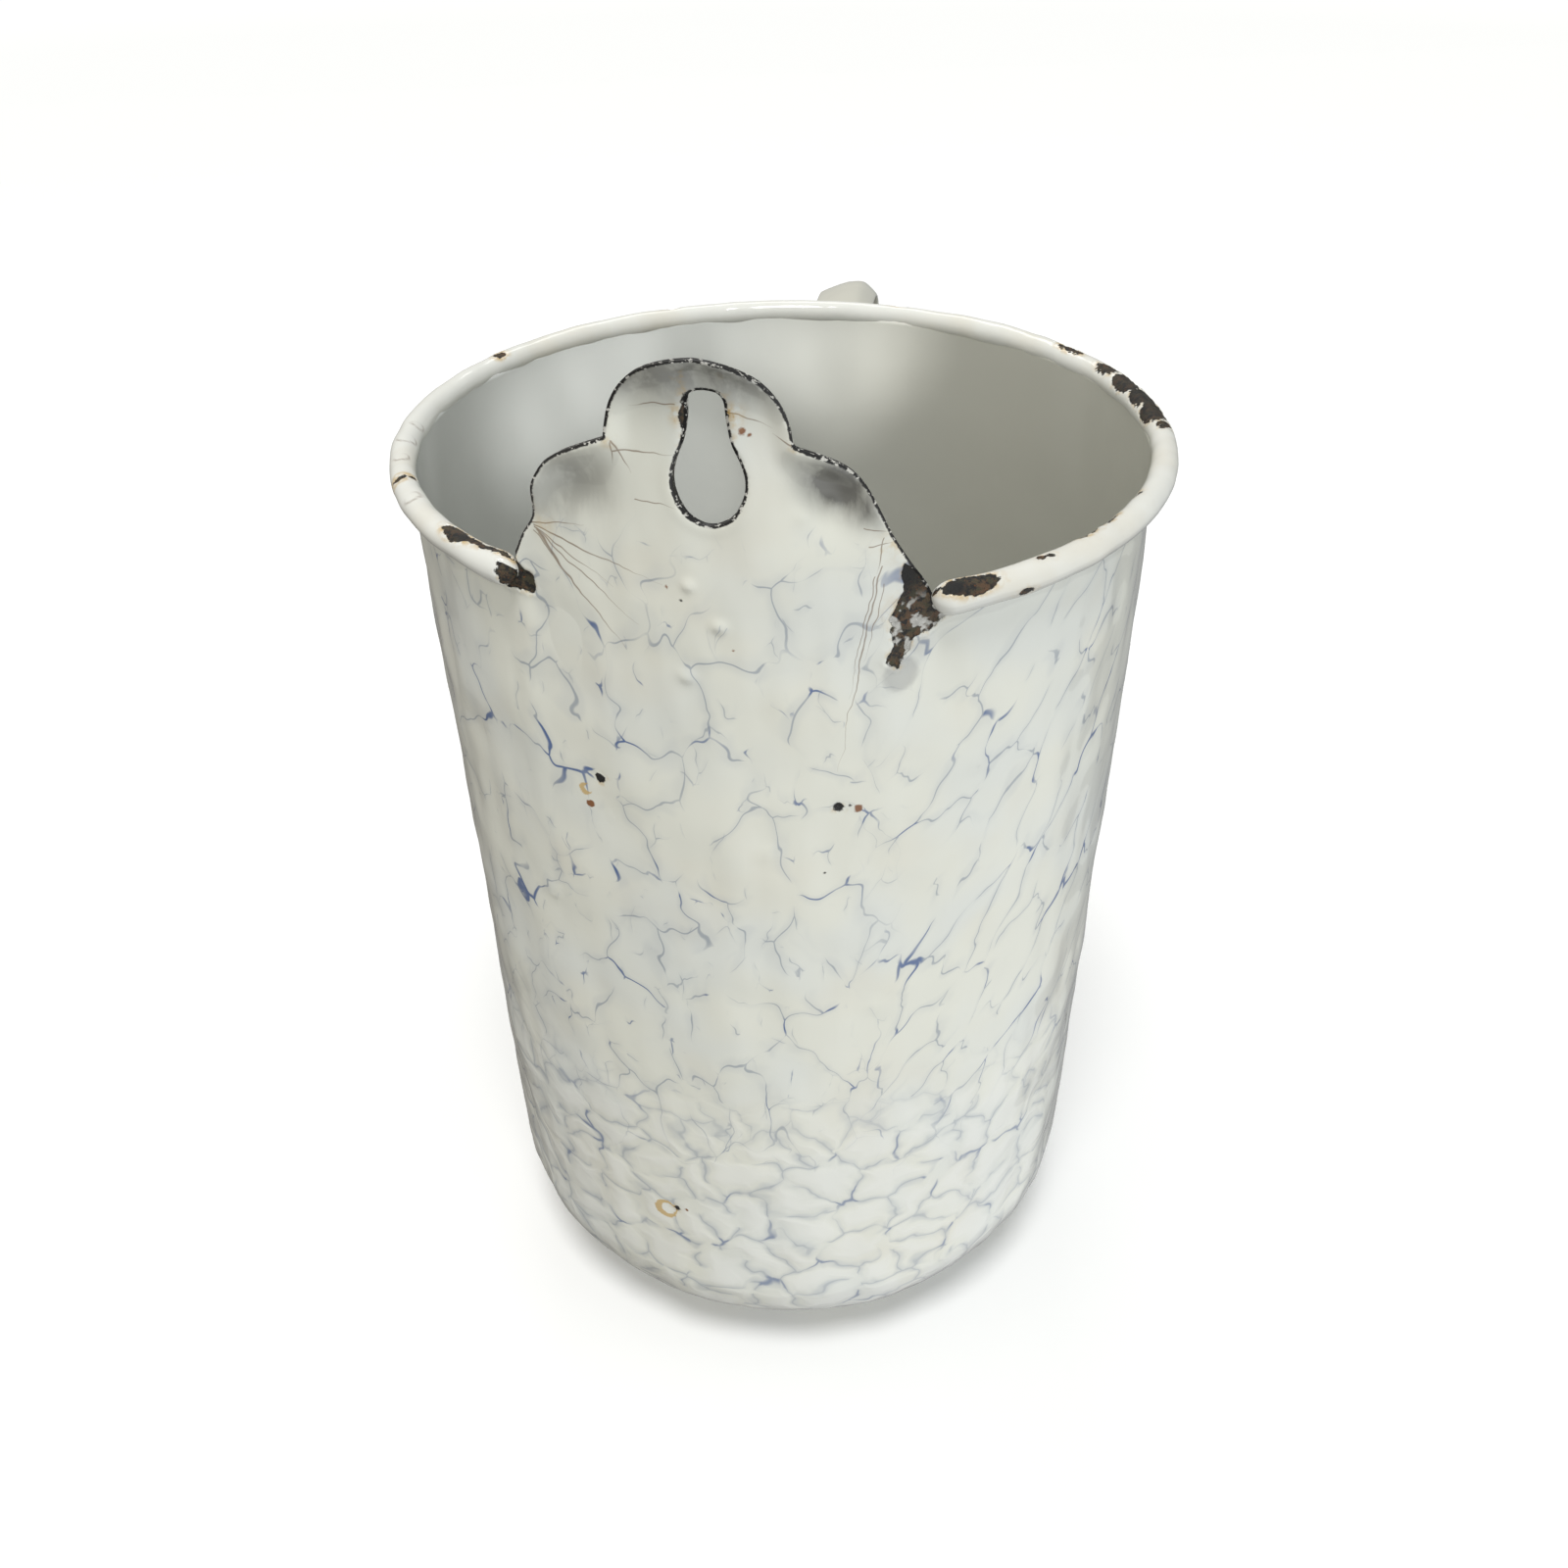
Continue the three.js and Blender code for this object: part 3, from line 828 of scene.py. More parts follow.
class Nodes:
    """A node tree under construction. Each method adds one node and returns its output."""

    def __init__(self, tree):
        self.tree = tree
        tree.nodes.clear()

    def add(self, kind, inputs=(), output=0, **settings):
        node = self.tree.nodes.new(kind)
        for name, value in settings.items():
            setattr(node, name, value)
        for key, value in dict(inputs).items():
            self.feed(node.inputs[key], value)
        return node.outputs[output] if node.outputs else None

    def feed(self, socket, value):
        if isinstance(value, bpy.types.NodeSocket):
            self.tree.links.new(value, socket)
        else:
            socket.default_value = value

    def math(self, operation, a, b=0.0, clamp=False):
        return self.add("ShaderNodeMath", {0: a, 1: b}, operation=operation, use_clamp=clamp)

    def times(self, a, b, clamp=False):
        return self.math("MULTIPLY", a, b, clamp)

    def plus(self, a, b):
        return self.math("ADD", a, b)

    def minus(self, a, b, clamp=False):
        return self.math("SUBTRACT", a, b, clamp)

    def affine(self, value, factor, offset):
        return self.add("ShaderNodeMath", {0: value, 1: factor, 2: offset},
                        operation="MULTIPLY_ADD")

    def flat(self, x, y):
        """A place on a flat layout."""
        return self.add("ShaderNodeCombineXYZ", {0: x, 1: y})

    def parts(self, place):
        """The x, y and z of a place."""
        return self.add("ShaderNodeSeparateXYZ", {0: place}).node.outputs

    def vector(self, operation, a, b=(0, 0, 0), output=0):
        return self.add("ShaderNodeVectorMath", {0: a, 1: b}, output, operation=operation)

    def scaled(self, a, factor):
        return self.add("ShaderNodeVectorMath", {0: a, "Scale": factor}, operation="SCALE")

    def ramp(self, value, low, high, start=0.0, end=1.0):
        """start below low, end above high, with a soft step between."""
        return self.add("ShaderNodeMapRange", {"Value": value, "From Min": low, "From Max": high,
                                               "To Min": start, "To Max": end},
                        interpolation_type="SMOOTHSTEP")

    def mix(self, factor, a, b):
        node = self.tree.nodes.new("ShaderNodeMix")
        node.data_type = "RGBA"
        self.feed(node.inputs[0], factor)
        self.feed(node.inputs[6], a)
        self.feed(node.inputs[7], b)
        return node.outputs[2]

    def noise(self, place, size, detail=3.0, rough=0.55, output=0):
        """Noise with features of that size in millimetres."""
        return self.add("ShaderNodeTexNoise", {"Vector": place, "Scale": 1 / size,
                                               "Detail": detail, "Roughness": rough}, output)

    def cells(self, place, size, feature):
        """Cells of that size over a flat layout."""
        return self.add("ShaderNodeTexVoronoi", {"Vector": place, "Scale": 1 / size},
                        feature=feature, voronoi_dimensions="2D")

    def field(self, name):
        """A number painted on the mesh's vertices."""
        return self.add("ShaderNodeAttribute", output=2, attribute_name=name)

    def top(self, *values):
        """The largest of several masks."""
        result = values[0]
        for value in values[1:]:
            result = self.math("MAXIMUM", result, value)
        return result


def group(name, inputs):
    """A new group with named inputs and one output called Mask, and its Nodes."""
    tree = bpy.data.node_groups.new(name, "ShaderNodeTree")
    n = Nodes(tree)
    for label, kind in inputs:
        tree.interface.new_socket(label, in_out="INPUT", socket_type="NodeSocket" + kind)
    tree.interface.new_socket("Mask", in_out="OUTPUT", socket_type="NodeSocketFloat")
    given = tree.nodes.new("NodeGroupInput")
    result = tree.nodes.new("NodeGroupOutput")
    return n, given.outputs, result.inputs["Mask"]


def hairline_group():
    """A thin crack from Start to End that wanders a little and thins towards its end."""
    n, given, result = group("hairline", [("Place", "Vector"), ("Start", "Vector"),
                                          ("End", "Vector"), ("Width", "Float")])
    wander = n.noise(given["Place"], 5.0, 2.0, output=1)
    wander = n.scaled(n.vector("SUBTRACT", wander, (0.5, 0.5, 0.5)), 1.7)
    place = n.vector("MULTIPLY", n.vector("ADD", given["Place"], wander), (1, 1, 0))
    line = n.vector("SUBTRACT", given["End"], given["Start"])
    reach = n.vector("SUBTRACT", place, given["Start"])
    along = n.math("DIVIDE", n.vector("DOT_PRODUCT", reach, line, 1),
                   n.vector("DOT_PRODUCT", line, line, 1), clamp=True)
    gap = n.vector("LENGTH", n.vector("SUBTRACT", reach, n.scaled(line, along)), output=1)
    width = n.times(given["Width"], n.ramp(along, 0.2, 1.0, 1.0, 0.45))
    inside_line = n.minus(1.0, n.math("DIVIDE", gap, width), clamp=True)
    fade = n.ramp(along, 0.55, 1.0, 1.0, 0.25)
    n.feed(result, n.times(n.math("POWER", inside_line, 0.7), fade))
    return n.tree


def spot_group():
    """A ragged round spot of some radius at Centre."""
    n, given, result = group("spot", [("Place", "Vector"), ("Centre", "Vector"),
                                      ("Radius", "Float")])
    gap = n.vector("DISTANCE", n.vector("MULTIPLY", given["Place"], (1, 1, 0)), given["Centre"], 1)
    ragged = n.affine(n.noise(given["Place"], 0.8, 3.0), 0.9, -0.45)
    edge = n.minus(given["Radius"], n.plus(gap, ragged))
    n.feed(result, n.ramp(edge, -0.12, 0.18))
    return n.tree


ENAMEL_WHITE = rgb(226, 226, 215)
ENAMEL_COOL = rgb(221, 223, 217)
ENAMEL_WARM = rgb(219, 213, 197)
ENAMEL_CLOUD = rgb(233, 233, 228)
VEIN_FAINT = rgb(132, 142, 156)
VEIN_BLUE = rgb(58, 90, 146)
VEIN_WASH = rgb(172, 178, 186)
STEEL_BLACK = rgb(15, 13, 12)
STEEL_BROWN = rgb(88, 64, 42)
STEEL_OLIVE = rgb(62, 58, 38)
RUST_DARK = rgb(128, 74, 24)
RUST_YELLOW = rgb(196, 158, 74)
CRACK_BROWN = rgb(112, 84, 58)
CURL_BROWN = rgb(118, 92, 72)
# colour of the painted shade and dark reflection on the tab, and of its thin enamel
SHADE_AND_THIN_ENAMEL_GREY = rgb(80, 78, 76)
BRUISE_GREY = rgb(132, 132, 134)
GLASS_GREY = rgb(120, 118, 112)
GLASS_PALE = rgb(232, 231, 226)
FLECK_WHITE = rgb(205, 203, 196)
ROLL_WHITE = rgb(229, 229, 223)
LINING_LEFT = rgb(201, 203, 199)
# painted shade: the lining's right side, darker and warmer
LINING_SHADED_RIGHT = rgb(196, 195, 184)
# painted shade: the grey laid over the handle's enamel
HANDLE_SHADE_GREY = rgb(192, 190, 179)


class Enamel(Nodes):
    """A glossy vitreous enamel material, built up layer by layer."""

    def __init__(self, name):
        self.material = bpy.data.materials.new(name)
        self.material.use_nodes = True
        super().__init__(self.material.node_tree)
        coordinates = self.add("ShaderNodeTexCoord", output=3)
        self.place = self.scaled(coordinates, 1 / MM)
        x, y, self.height = self.parts(self.place)
        self.turn = self.math("ARCTAN2", x, self.times(y, -1.0))
        self.across = self.times(self.turn, TOP_RADIUS)
        self.rise = self.minus(self.height, ROLL_HEIGHT)
        self.panel = self.flat(self.across, self.rise)
        self.colour = self.glaze()
        self.roughness = self.patches(12.0, 0.35, 0.7, start=0.07, end=0.14)
        self.heights = self.times(self.noise(self.place, 5.0, 2.0), 0.05)

    def glaze(self):
        """Off-white with slightly cooler and warmer patches."""
        cool = self.patches(26.0, 0.42, 0.66, 2.0)
        warm = self.ramp(self.noise(self.vector("ADD", self.place, (90, 0, 0)), 17.0, 2.0), 0.5, 0.75)
        colour = self.mix(cool, ENAMEL_WHITE, ENAMEL_COOL)
        return self.mix(self.times(warm, 0.3), colour, ENAMEL_WARM)

    def patches(self, size, low, high, detail=3.0, rough=0.55, start=0.0, end=1.0):
        """Patches of that size all over the piece, from start to end where noise goes low to high."""
        return self.ramp(self.noise(self.place, size, detail, rough), low, high, start, end)

    def wash(self, factor, colour):
        self.colour = self.mix(factor, self.colour, colour)

    def drift(self, place, size, amount):
        swirl = self.noise(place, size, 1.0, output=1)
        swirl = self.scaled(self.vector("SUBTRACT", swirl, (0.5, 0.5, 0.5)), amount)
        return self.vector("ADD", place, swirl)

    def veins(self, place, size, presence, width, fullness, softness):
        """One net of veins: faint lines that thin out, and blue dots where three cells meet."""
        place = self.drift(place, size * 0.95, size)
        place = self.drift(place, size * 0.42, size * 0.36)
        gap = self.times(self.cells(place, size, "DISTANCE_TO_EDGE"), size)
        meeting = self.ramp(self.cells(place, size, "F1"), 0.54, 0.80)
        broken = self.noise(self.vector("ADD", place, (31, 7, 0)), size * 0.7, 1.0)
        start = 0.62 - 0.3 * fullness
        alive = self.times(presence, self.ramp(broken, start, start + 0.16))
        picked = self.noise(self.vector("ADD", place, (5, 43, 0)), size * 0.8, 1.0)
        swell = self.times(meeting, self.ramp(picked, 0.45, 0.62))
        thickness = self.plus(self.ramp(alive, 0.0, 1.0, 0.35 * width, width),
                              self.times(swell, 1.2 * width))
        closeness = self.ramp(self.math("DIVIDE", gap, thickness),
                              1.0 + 0.8 * softness, 0.3 - 0.3 * softness)
        line = self.times(closeness, alive)
        halo = self.times(self.ramp(gap, 0.0, 0.17 * size, 1.0, 0.0), alive)
        blue = self.times(line, self.ramp(swell, 0.05, 0.55))
        self.wash(self.times(halo, 0.2 + 0.35 * softness), VEIN_WASH)
        self.wash(self.times(line, 0.66 - 0.43 * softness), VEIN_FAINT)
        self.wash(self.times(blue, 0.85 - 0.45 * softness), VEIN_BLUE)
        middle = self.times(self.ramp(gap, 0.04 * size, 0.4 * size), presence)
        self.wash(self.times(middle, 0.8 * softness), ENAMEL_CLOUD)
        pillow = self.times(middle, 0.15 * softness)
        self.heights = self.plus(self.heights, pillow)

    def all_veins(self):
        """Large loose cells round the tab, slanted ones to its right, small round ones below."""
        develop = self.field("develop")
        upper = self.ramp(self.height, 46.0, 76.0)
        lower = self.times(self.ramp(self.height, 82.0, 58.0),
                           self.ramp(develop, FOOT_START, FOOT_START + 8.0))
        to_right = self.times(self.ramp(self.turn, 0.30, 0.50),
                              self.ramp(self.turn, 2.6, 2.2))
        seam = self.ramp(self.math("ABSOLUTE", self.turn), 3.10, 2.98)
        start = self.plus(self.rise, self.times(self.noise(self.place, 7.0, 1.0), 22.0))
        wall = self.times(self.times(upper, seam), self.ramp(start, 24.0, 15.0))
        loose = self.times(wall, self.minus(1.0, to_right))
        slant = self.times(wall, to_right)
        flat = self.flat(self.across, develop)
        self.veins(self.vector("MULTIPLY", flat, (1, 0.8, 0)), 11.0, loose, 0.17, 0.74, 0.04)
        self.veins(self.vector("MULTIPLY", flat, (1.1, 0.7, 0)), 6.0,
                   self.times(loose, 0.8), 0.13, 0.30, 0.04)
        lean = self.minus(self.across, self.times(self.rise, 0.5))
        self.veins(self.flat(lean, self.times(develop, 0.6)), 8.0, slant, 0.17, 0.80, 0.05)
        self.veins(self.vector("MULTIPLY", flat, (1, 1.2, 0)), 10.0,
                   self.times(lower, seam), 0.24, 0.85, 0.72)
        self.veins(self.place, 9.0, self.ramp(develop, FOOT_START + 8.0, FOOT_START), 0.24, 0.8, 0.6)

    def bare_steel(self, soot):
        """Old steel, black to brown with rust in patches; soot blackens it."""
        brown = self.mix(self.patches(1.9, 0.40, 0.60, 4.0, 0.65), STEEL_OLIVE, STEEL_BROWN)
        metal = self.mix(self.patches(1.1, 0.42, 0.54, 4.0, 0.7), STEEL_BLACK, brown)
        metal = self.mix(self.patches(0.6, 0.6, 0.75), metal, RUST_DARK)
        return self.mix(self.times(soot, 1.0, clamp=True), metal, STEEL_BLACK)

    def chips(self, depth, soot=0.0, flakes=0.0):
        """Bare steel where depth is above 0, black at its sharp edge, with rust outside it.

        flakes is where bits of glassy enamel still hold on."""
        ragged = self.affine(self.noise(self.place, 0.7, 4.0, 0.7), 0.6, -0.3)
        depth = self.plus(depth, ragged)
        bare = self.ramp(depth, -0.05, 0.07)
        bits = self.ramp(self.noise(self.drift(self.place, 1.5, 1.2), 2.3, 2.0), 0.50, 0.56)
        bits = self.times(bits, flakes)
        rim = self.times(self.ramp(depth, 0.3, 0.02), 0.85)
        metal = self.mix(rim, self.bare_steel(soot), STEEL_BLACK)
        metal = self.mix(bits, metal, self.mix(self.noise(self.place, 0.9), GLASS_GREY, GLASS_PALE))
        stain = self.times(self.ramp(depth, -1.0, 0.0), self.patches(1.5, 0.45, 0.7))
        self.wash(self.times(stain, 0.45), RUST_YELLOW)
        self.wash(bare, metal)
        dull = self.times(bare, self.minus(1.0, bits))
        self.roughness = self.plus(self.roughness, self.times(dull, 0.5))
        grit = self.times(self.noise(self.place, 0.5, 4.0, 0.7), bare)
        self.heights = self.plus(self.heights, self.times(grit, 0.3))
        held = self.times(bits, bare)
        self.heights = self.plus(self.heights, self.times(held, 0.2))

    def trimmed_edge(self):
        """The cut edge of the tab and keyhole: a thin line of black steel with bits of enamel."""
        ragged = self.affine(self.noise(self.place, 0.9, 3.0, 0.7), 0.55, -0.27)
        bare = self.ramp(self.plus(self.field("edge"), ragged), 0.46, 0.28)
        flecks = self.patches(0.75, 0.56, 0.62, 2.0, 0.6)
        self.wash(bare, self.mix(flecks, STEEL_BLACK, FLECK_WHITE))
        self.roughness = self.plus(self.roughness, self.times(bare, 0.3))

    def foot_wear(self):
        """A dull ring of worn enamel where the can stands, and three marks of the firing pins."""
        reach = self.vector("LENGTH", self.vector("MULTIPLY", self.place, (1, 1, 0)), output=1)
        ring = self.times(self.ramp(reach, FLAT_RADIUS - 7, FLAT_RADIUS - 2),
                          self.ramp(reach, FLAT_RADIUS + 4, FLAT_RADIUS))
        worn = self.times(self.times(ring, self.ramp(self.height, 0.9, 0.2)),
                          self.patches(2.6, 0.42, 0.6, 4.0, 0.65))
        steel = self.mix(self.noise(self.place, 1.2, 3.0), STEEL_BLACK, STEEL_BROWN)
        self.wash(self.times(worn, 0.85), steel)
        pins = [(PIN_CIRCLE * math.sin(a), PIN_CIRCLE * math.cos(a), 0) for a in PIN_ANGLES]
        pins = [self.ramp(self.vector("DISTANCE", self.place, pin, 1), 1.5, 0.7) for pin in pins]
        self.wash(self.top(*pins), STEEL_BLACK)
        self.roughness = self.plus(self.roughness, self.times(worn, 0.4))

    def finish(self):
        relief = self.add("ShaderNodeBump", {"Height": self.heights, "Strength": 1.0,
                                             "Distance": MM})
        shader = self.add("ShaderNodeBsdfPrincipled", {
            "Base Color": self.colour, "Roughness": self.roughness, "Normal": relief,
            "IOR": 1.52,
        })
        self.add("ShaderNodeOutputMaterial", {"Surface": shader})
        return self.material


# Cracks and spots on the front, listed as (across, rise above the roll's centre).
CRACKS = [  # start, end, width
    ((-26.2, 8.6), (-18.0, 9.8), 0.15), ((-26.0, 8.3), (-14.5, 5.0), 0.16),
    ((-26.0, 8.0), (-13.9, 1.6), 0.14), ((-26.0, 8.0), (-10.4, -3.8), 0.17),
    ((-25.5, 7.0), (-12.6, -8.2), 0.20), ((-25.6, 7.6), (-19.3, -0.6), 0.30),
    ((-26.3, 7.4), (-21.5, 2.2), 0.16), ((-25.0, 8.0), (-6.5, 3.0), 0.12),
    ((22.8, 5.6), (17.4, -27.0), 0.14), ((22.1, 4.0), (18.8, -14.5), 0.11),
    ((23.4, 3.0), (21.0, -9.0), 0.10),
    ((-12.0, 21.6), (-3.6, 21.9), 0.15), ((-9.6, 15.2), (-3.8, 14.6), 0.14),
    ((-11.9, 23.2), (-9.9, 18.6), 0.17), ((-12.0, 23.0), (-12.2, 19.6), 0.12),
    ((3.2, 27.6), (8.6, 25.8), 0.14), ((11.2, 23.8), (8.6, 25.2), 0.15),
    ((20.4, 11.6), (23.8, 11.0), 0.11), ((21.4, 9.0), (24.6, 9.4), 0.13),
    ((23.0, 10.2), (22.2, 4.4), 0.12), ((-3.4, 28.6), (-9.5, 27.8), 0.14),
]
RUST_SPOTS = [(5.0, 25.3, 0.5), (5.9, 24.9, 0.3), (-22.0, -37.9, 0.75), (20.6, -34.0, 0.7),
              (-10.9, -128.0, 0.35), (2.9, -6.5, 0.2), (-6.0, 2.6, 0.2)]
DARK_SPOTS = [(-19.6, -32.5, 0.85), (17.6, -33.6, 0.8), (19.3, -33.3, 0.3), (-12.9, -128.4, 0.55),
              (15.6, -46.0, 0.2), (-4.0, 0.8, 0.22)]
YELLOW_RINGS = [(-22.6, -35.2, 1.1), (-15.4, -129.4, 2.4)]


def outside_enamel():
    s = Enamel("enamel_outside")
    s.all_veins()
    # Painted shade and dark reflection on the tab's shoulders and the lobe's top, in streaks like
    # thin enamel.
    streaks = s.ramp(s.noise(s.vector("MULTIPLY", s.place, (1, 1, 0.35)), 2.2, 4.0, 0.6), 0.25, 0.65)
    thin = s.times(s.field("smudge"), s.ramp(streaks, 0.0, 1.0, 0.75, 1.1), clamp=True)
    s.wash(s.times(thin, 0.82), SHADE_AND_THIN_ENAMEL_GREY)
    s.wash(s.times(s.field("bruise"), 0.42), BRUISE_GREY)
    hairline, spot = hairline_group(), spot_group()

    def crack(start, end, width):
        return s.add("ShaderNodeGroup", {"Place": s.panel, "Start": (*start, 0),
                                         "End": (*end, 0), "Width": width}, node_tree=hairline)

    def mark(across, rise, radius):
        return s.add("ShaderNodeGroup", {"Place": s.panel, "Centre": (across, rise, 0),
                                         "Radius": radius}, node_tree=spot)

    cracks = s.top(*(crack(*c) for c in CRACKS))
    s.wash(s.times(cracks, 0.8, clamp=True), CRACK_BROWN)
    for across, rise, radius in YELLOW_RINGS:
        ring = s.minus(mark(across, rise, radius), mark(across + 0.5, rise + 0.2, radius * 0.62),
                       clamp=True)
        s.wash(s.times(ring, 0.75), RUST_YELLOW)
    s.wash(s.times(s.top(*(mark(*m) for m in RUST_SPOTS)), 0.95), RUST_DARK)
    stain = s.times(s.field("rust"), s.patches(1.4, 0.35, 0.62, 4.0))
    s.wash(s.times(stain, 0.8, clamp=True), RUST_YELLOW)
    s.wash(s.ramp(stain, 0.55, 0.95), RUST_DARK)
    s.chips(s.field("chip"), s.field("soot"), s.field("flakes"))
    s.wash(s.top(*(mark(*m) for m in DARK_SPOTS)), STEEL_BLACK)
    s.trimmed_edge()
    s.foot_wear()
    return s.finish()


def lining_enamel():
    s = Enamel("enamel_lining")
    # Painted shade: the lining turns darker and warmer towards its right side.
    shade_to_right = s.vector("DOT_PRODUCT", s.place, (0.02, 0, 0), 1)
    s.colour = s.mix(s.ramp(shade_to_right, -0.8, 0.8), LINING_LEFT, LINING_SHADED_RIGHT)
    s.trimmed_edge()
    return s.finish()


def roll_enamel():
    s = Enamel("enamel_roll")
    warm = s.times(s.patches(14.0, 0.45, 0.75), 0.5)
    s.colour = s.mix(warm, ROLL_WHITE, ENAMEL_WARM)
    stain = s.times(s.field("stain"), s.patches(1.3, 0.36, 0.62, 4.0))
    s.wash(s.times(stain, 0.75, clamp=True), RUST_YELLOW)
    s.wash(s.times(s.field("curl"), 0.6), CURL_BROWN)
    s.chips(s.field("chip"), s.field("soot"))
    return s.finish()


def handle_enamel():
    s = Enamel("enamel_handle")
    # Painted shade: the handle's enamel greyed all over.
    s.wash(0.8, HANDLE_SHADE_GREY)
    x, y, z = s.parts(s.place)
    s.veins(s.flat(x, s.plus(y, z)), 8.0, s.ramp(s.height, 160.0, 140.0), 0.18, 0.6, 0.3)
    worn = s.minus(s.ramp(s.noise(s.vector("ADD", s.place, (40, 0, 0)), 9.0, 4.0, 0.65),
                          0.60, 0.80, -3.0, 1.6), 0.9)
    s.chips(worn)
    return s.finish()


def spout_enamel():
    s = Enamel("enamel_spout")
    x, y, z = s.parts(s.place)
    s.veins(s.flat(s.plus(x, z), y), 6.5, 1.0, 0.18, 0.8, 0.4)
    s.chips(s.field("chip"))
    return s.finish()


# ---- floor, light and camera ----------------------------------------------------------------

FLOOR_HOLE = 0.01  # metres, like the next three; the hole is under the can
FLOOR_RADIUS = 1.61
FLOOR_BEND = 0.8
FLOOR_DROP = 0.0006


def make_stage():
    """A round white floor that curves up to a wall all round, far out."""
    flat = [(reach, 0) for reach in np.linspace(FLOOR_HOLE, FLOOR_RADIUS, 20, endpoint=False)]
    bend = [(FLOOR_RADIUS + FLOOR_BEND * math.sin(a), FLOOR_BEND * (1 - math.cos(a)))
            for a in np.linspace(0, math.pi / 2, 13)]
    wall = [(FLOOR_RADIUS + FLOOR_BEND, FLOOR_BEND + 0.15 * k) for k in range(1, 8)]
    around = np.radians(np.linspace(0, 360, 96, endpoint=False))
    points = [(reach * math.cos(a), reach * math.sin(a), rise - FLOOR_DROP)
              for reach, rise in flat + bend + wall for a in around]
    mesh = bpy.data.meshes.new("floor")
    mesh.from_pydata(points, [], grid_faces(len(flat + bend + wall), len(around)))
    mesh.polygons.foreach_set("use_smooth", [True] * len(mesh.polygons))
    floor = new_object("floor", mesh)
    floor.visible_diffuse = False  # the world below stands for the table's bounce
    floor.visible_glossy = False
    paper = bpy.data.materials.new("paper")
    paper.use_nodes = True
    n = Nodes(paper.node_tree)
    shader = n.add("ShaderNodeBsdfPrincipled", {"Base Color": (0.96, 0.96, 0.96, 1),
                                                "Roughness": 0.9, "Specular IOR Level": 0.1})
    n.add("ShaderNodeOutputMaterial", {"Surface": shader})
    mesh.materials.append(paper)


def lamp(name, kind, direction, place=(0, 0, 0), **settings):
    """A light at that place that shines in that direction."""
    data = bpy.data.lights.new(name, kind)
    for setting, value in settings.items():
        setattr(data, setting, value)
    light = new_object(name, data)
    light.location = place
    light.rotation_euler = Vector(direction).to_track_quat("-Z", "Y").to_euler()


# Narrow lamps for the bright patches on the lining: place, aim, power and degrees wide.
SNOOT_LEFT = (0.280, -0.434, 0.625)
SNOOT_MIDDLE = (-0.041, -0.514, 0.620)
SNOOTS = [
    (SNOOT_LEFT, (-0.055, 0.023, 0.157), 9.0, 1.7),
    (SNOOT_LEFT, (-0.049, 0.033, 0.161), 9.0, 1.9),
    (SNOOT_LEFT, (-0.042, 0.042, 0.164), 9.0, 1.7),
    (SNOOT_LEFT, (-0.034, 0.048, 0.168), 9.0, 1.3),
    (SNOOT_MIDDLE, (-0.021, 0.056, 0.166), 9.0, 1.4),
    (SNOOT_MIDDLE, (-0.010, 0.058, 0.165), 9.0, 1.6),
    (SNOOT_MIDDLE, (0.001, 0.060, 0.160), 9.0, 2.0),
    (SNOOT_MIDDLE, (0.012, 0.059, 0.166), 9.0, 1.6),
    (SNOOT_MIDDLE, (-0.028, 0.052, 0.140), 10.0, 2.2),
]


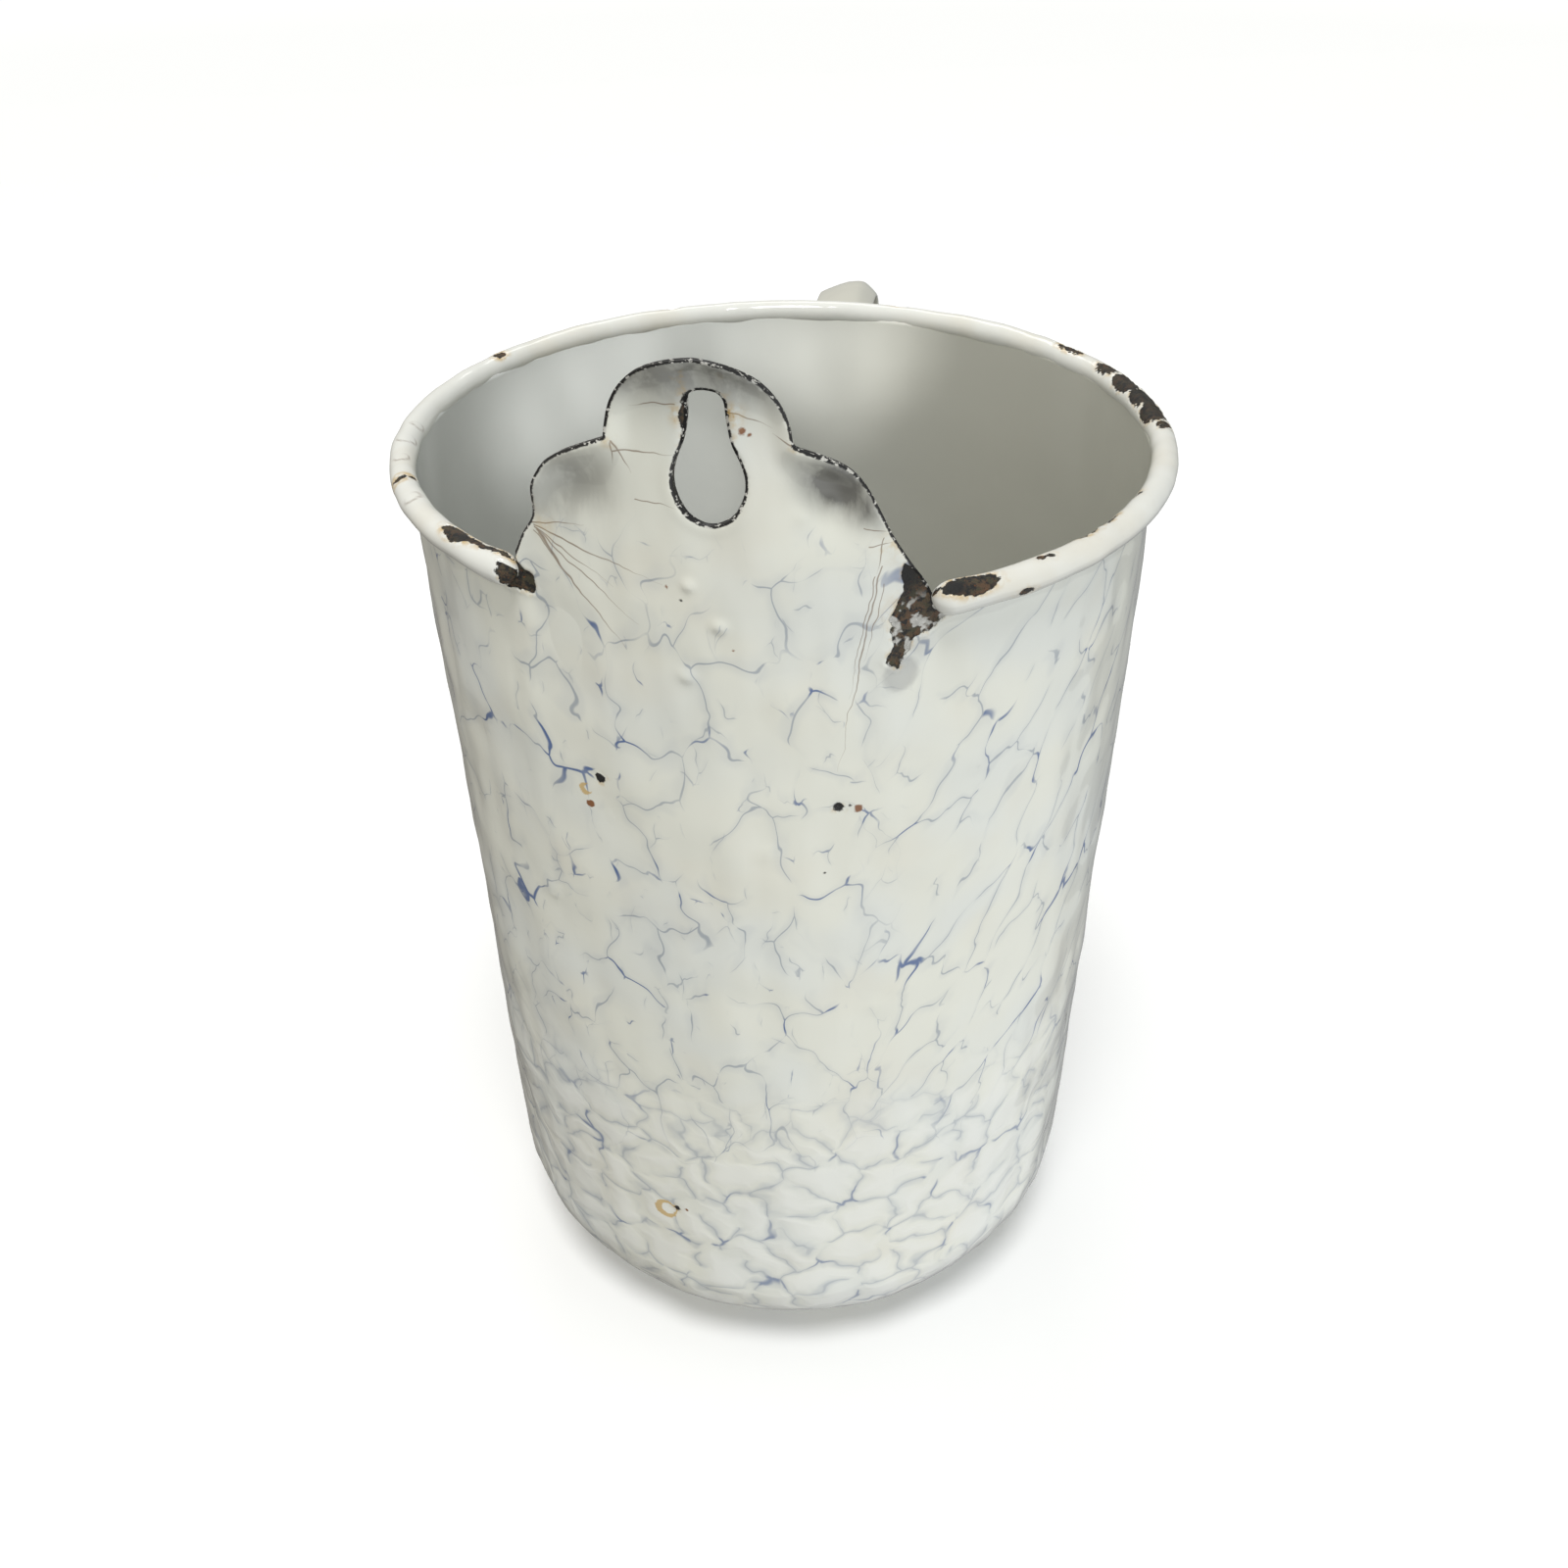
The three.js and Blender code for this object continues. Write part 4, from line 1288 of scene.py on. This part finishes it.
def make_lights():
    lamp("overhead", "SUN", (-0.04, 0.36, -1.0), energy=1.6, angle=math.radians(18))
    width, depth, radiance = 0.30, 0.16, 3.0
    place = Vector((-0.12, 0.42, 0.62))
    lamp("back", "AREA", Vector((0, 0.02, 0.1)) - place, place, shape="RECTANGLE", size=width,
         size_y=depth, energy=radiance * math.pi * width * depth)
    for k, (place, aim, power, cone) in enumerate(SNOOTS):
        lamp("snoot_" + str(k), "SPOT", Vector(aim) - Vector(place), place, energy=power,
             spot_size=math.radians(cone), spot_blend=0.5, shadow_soft_size=0.006)
    world = bpy.data.worlds.new("studio")
    bpy.context.scene.world = world
    world.use_nodes = True
    n = Nodes(world.node_tree)
    x, y, z = n.parts(n.add("ShaderNodeTexCoord", output=0))
    left = n.mix(n.ramp(z, -0.7, 0.3), (0.28, 0.27, 0.25, 1), (0.70, 0.69, 0.65, 1))
    right = n.mix(n.ramp(z, -0.7, 0.6), (1.30, 1.33, 1.33, 1), (0.58, 0.60, 0.60, 1))
    right = n.scaled(right, n.ramp(y, 0.0, 0.8, 1.0, 0.35))
    left = n.scaled(left, n.ramp(y, 0.2, 0.9, 1.0, 0.75))
    sky = n.mix(n.ramp(x, -0.50, 0.45), left, right)
    light = n.add("ShaderNodeBackground", {"Color": sky})
    n.add("ShaderNodeOutputWorld", {"Surface": light})
    view = bpy.context.scene.view_settings
    view.view_transform = "Standard"
    view.look = "None"


def light_only(piece, lamp_names):
    """Lets the lamps whose names start so shine on that piece alone."""
    lit = bpy.data.collections.new("lit_by_" + lamp_names)
    lit.objects.link(piece)
    for light in bpy.context.scene.objects:
        if light.name.startswith(lamp_names):
            light.light_linking.receiver_collection = lit


CAMERA_TURN = 9.5  # degrees to the right of the tab
CAMERA_ELEVATION = 22.3  # seen from the middle of the rim
CAMERA_DISTANCE = 0.266  # from the middle of the rim, in metres
CAMERA_PITCH = 34.92  # below the horizon
CAMERA_YAW = -0.17
CAMERA_ROLL = -0.84
CAMERA_LENS = 35.98


def make_camera():
    turn, elevation = math.radians(CAMERA_TURN), math.radians(CAMERA_ELEVATION)
    data = bpy.data.cameras.new("camera")
    data.sensor_width, data.lens = 36.0, CAMERA_LENS
    data.clip_start = 0.01
    camera = new_object("camera", data)
    reach = CAMERA_DISTANCE * math.cos(elevation)
    place = Vector((reach * math.sin(turn), -reach * math.cos(turn),
                    ROLL_HEIGHT * MM + CAMERA_DISTANCE * math.sin(elevation)))
    heading = math.radians(CAMERA_YAW) - turn
    spin = (Matrix.Rotation(-heading, 4, "Z")
            @ Matrix.Rotation(math.radians(90 - CAMERA_PITCH), 4, "X")
            @ Matrix.Rotation(math.radians(CAMERA_ROLL), 4, "Z"))
    camera.matrix_world = Matrix.Translation(place) @ spin
    bpy.context.scene.camera = camera


make_camera()
make_stage()
make_lights()
lining = make_can(outside_enamel(), lining_enamel())
light_only(lining, "snoot")
make_roll(roll_enamel())
make_strap(handle_enamel())
make_spout(spout_enamel())
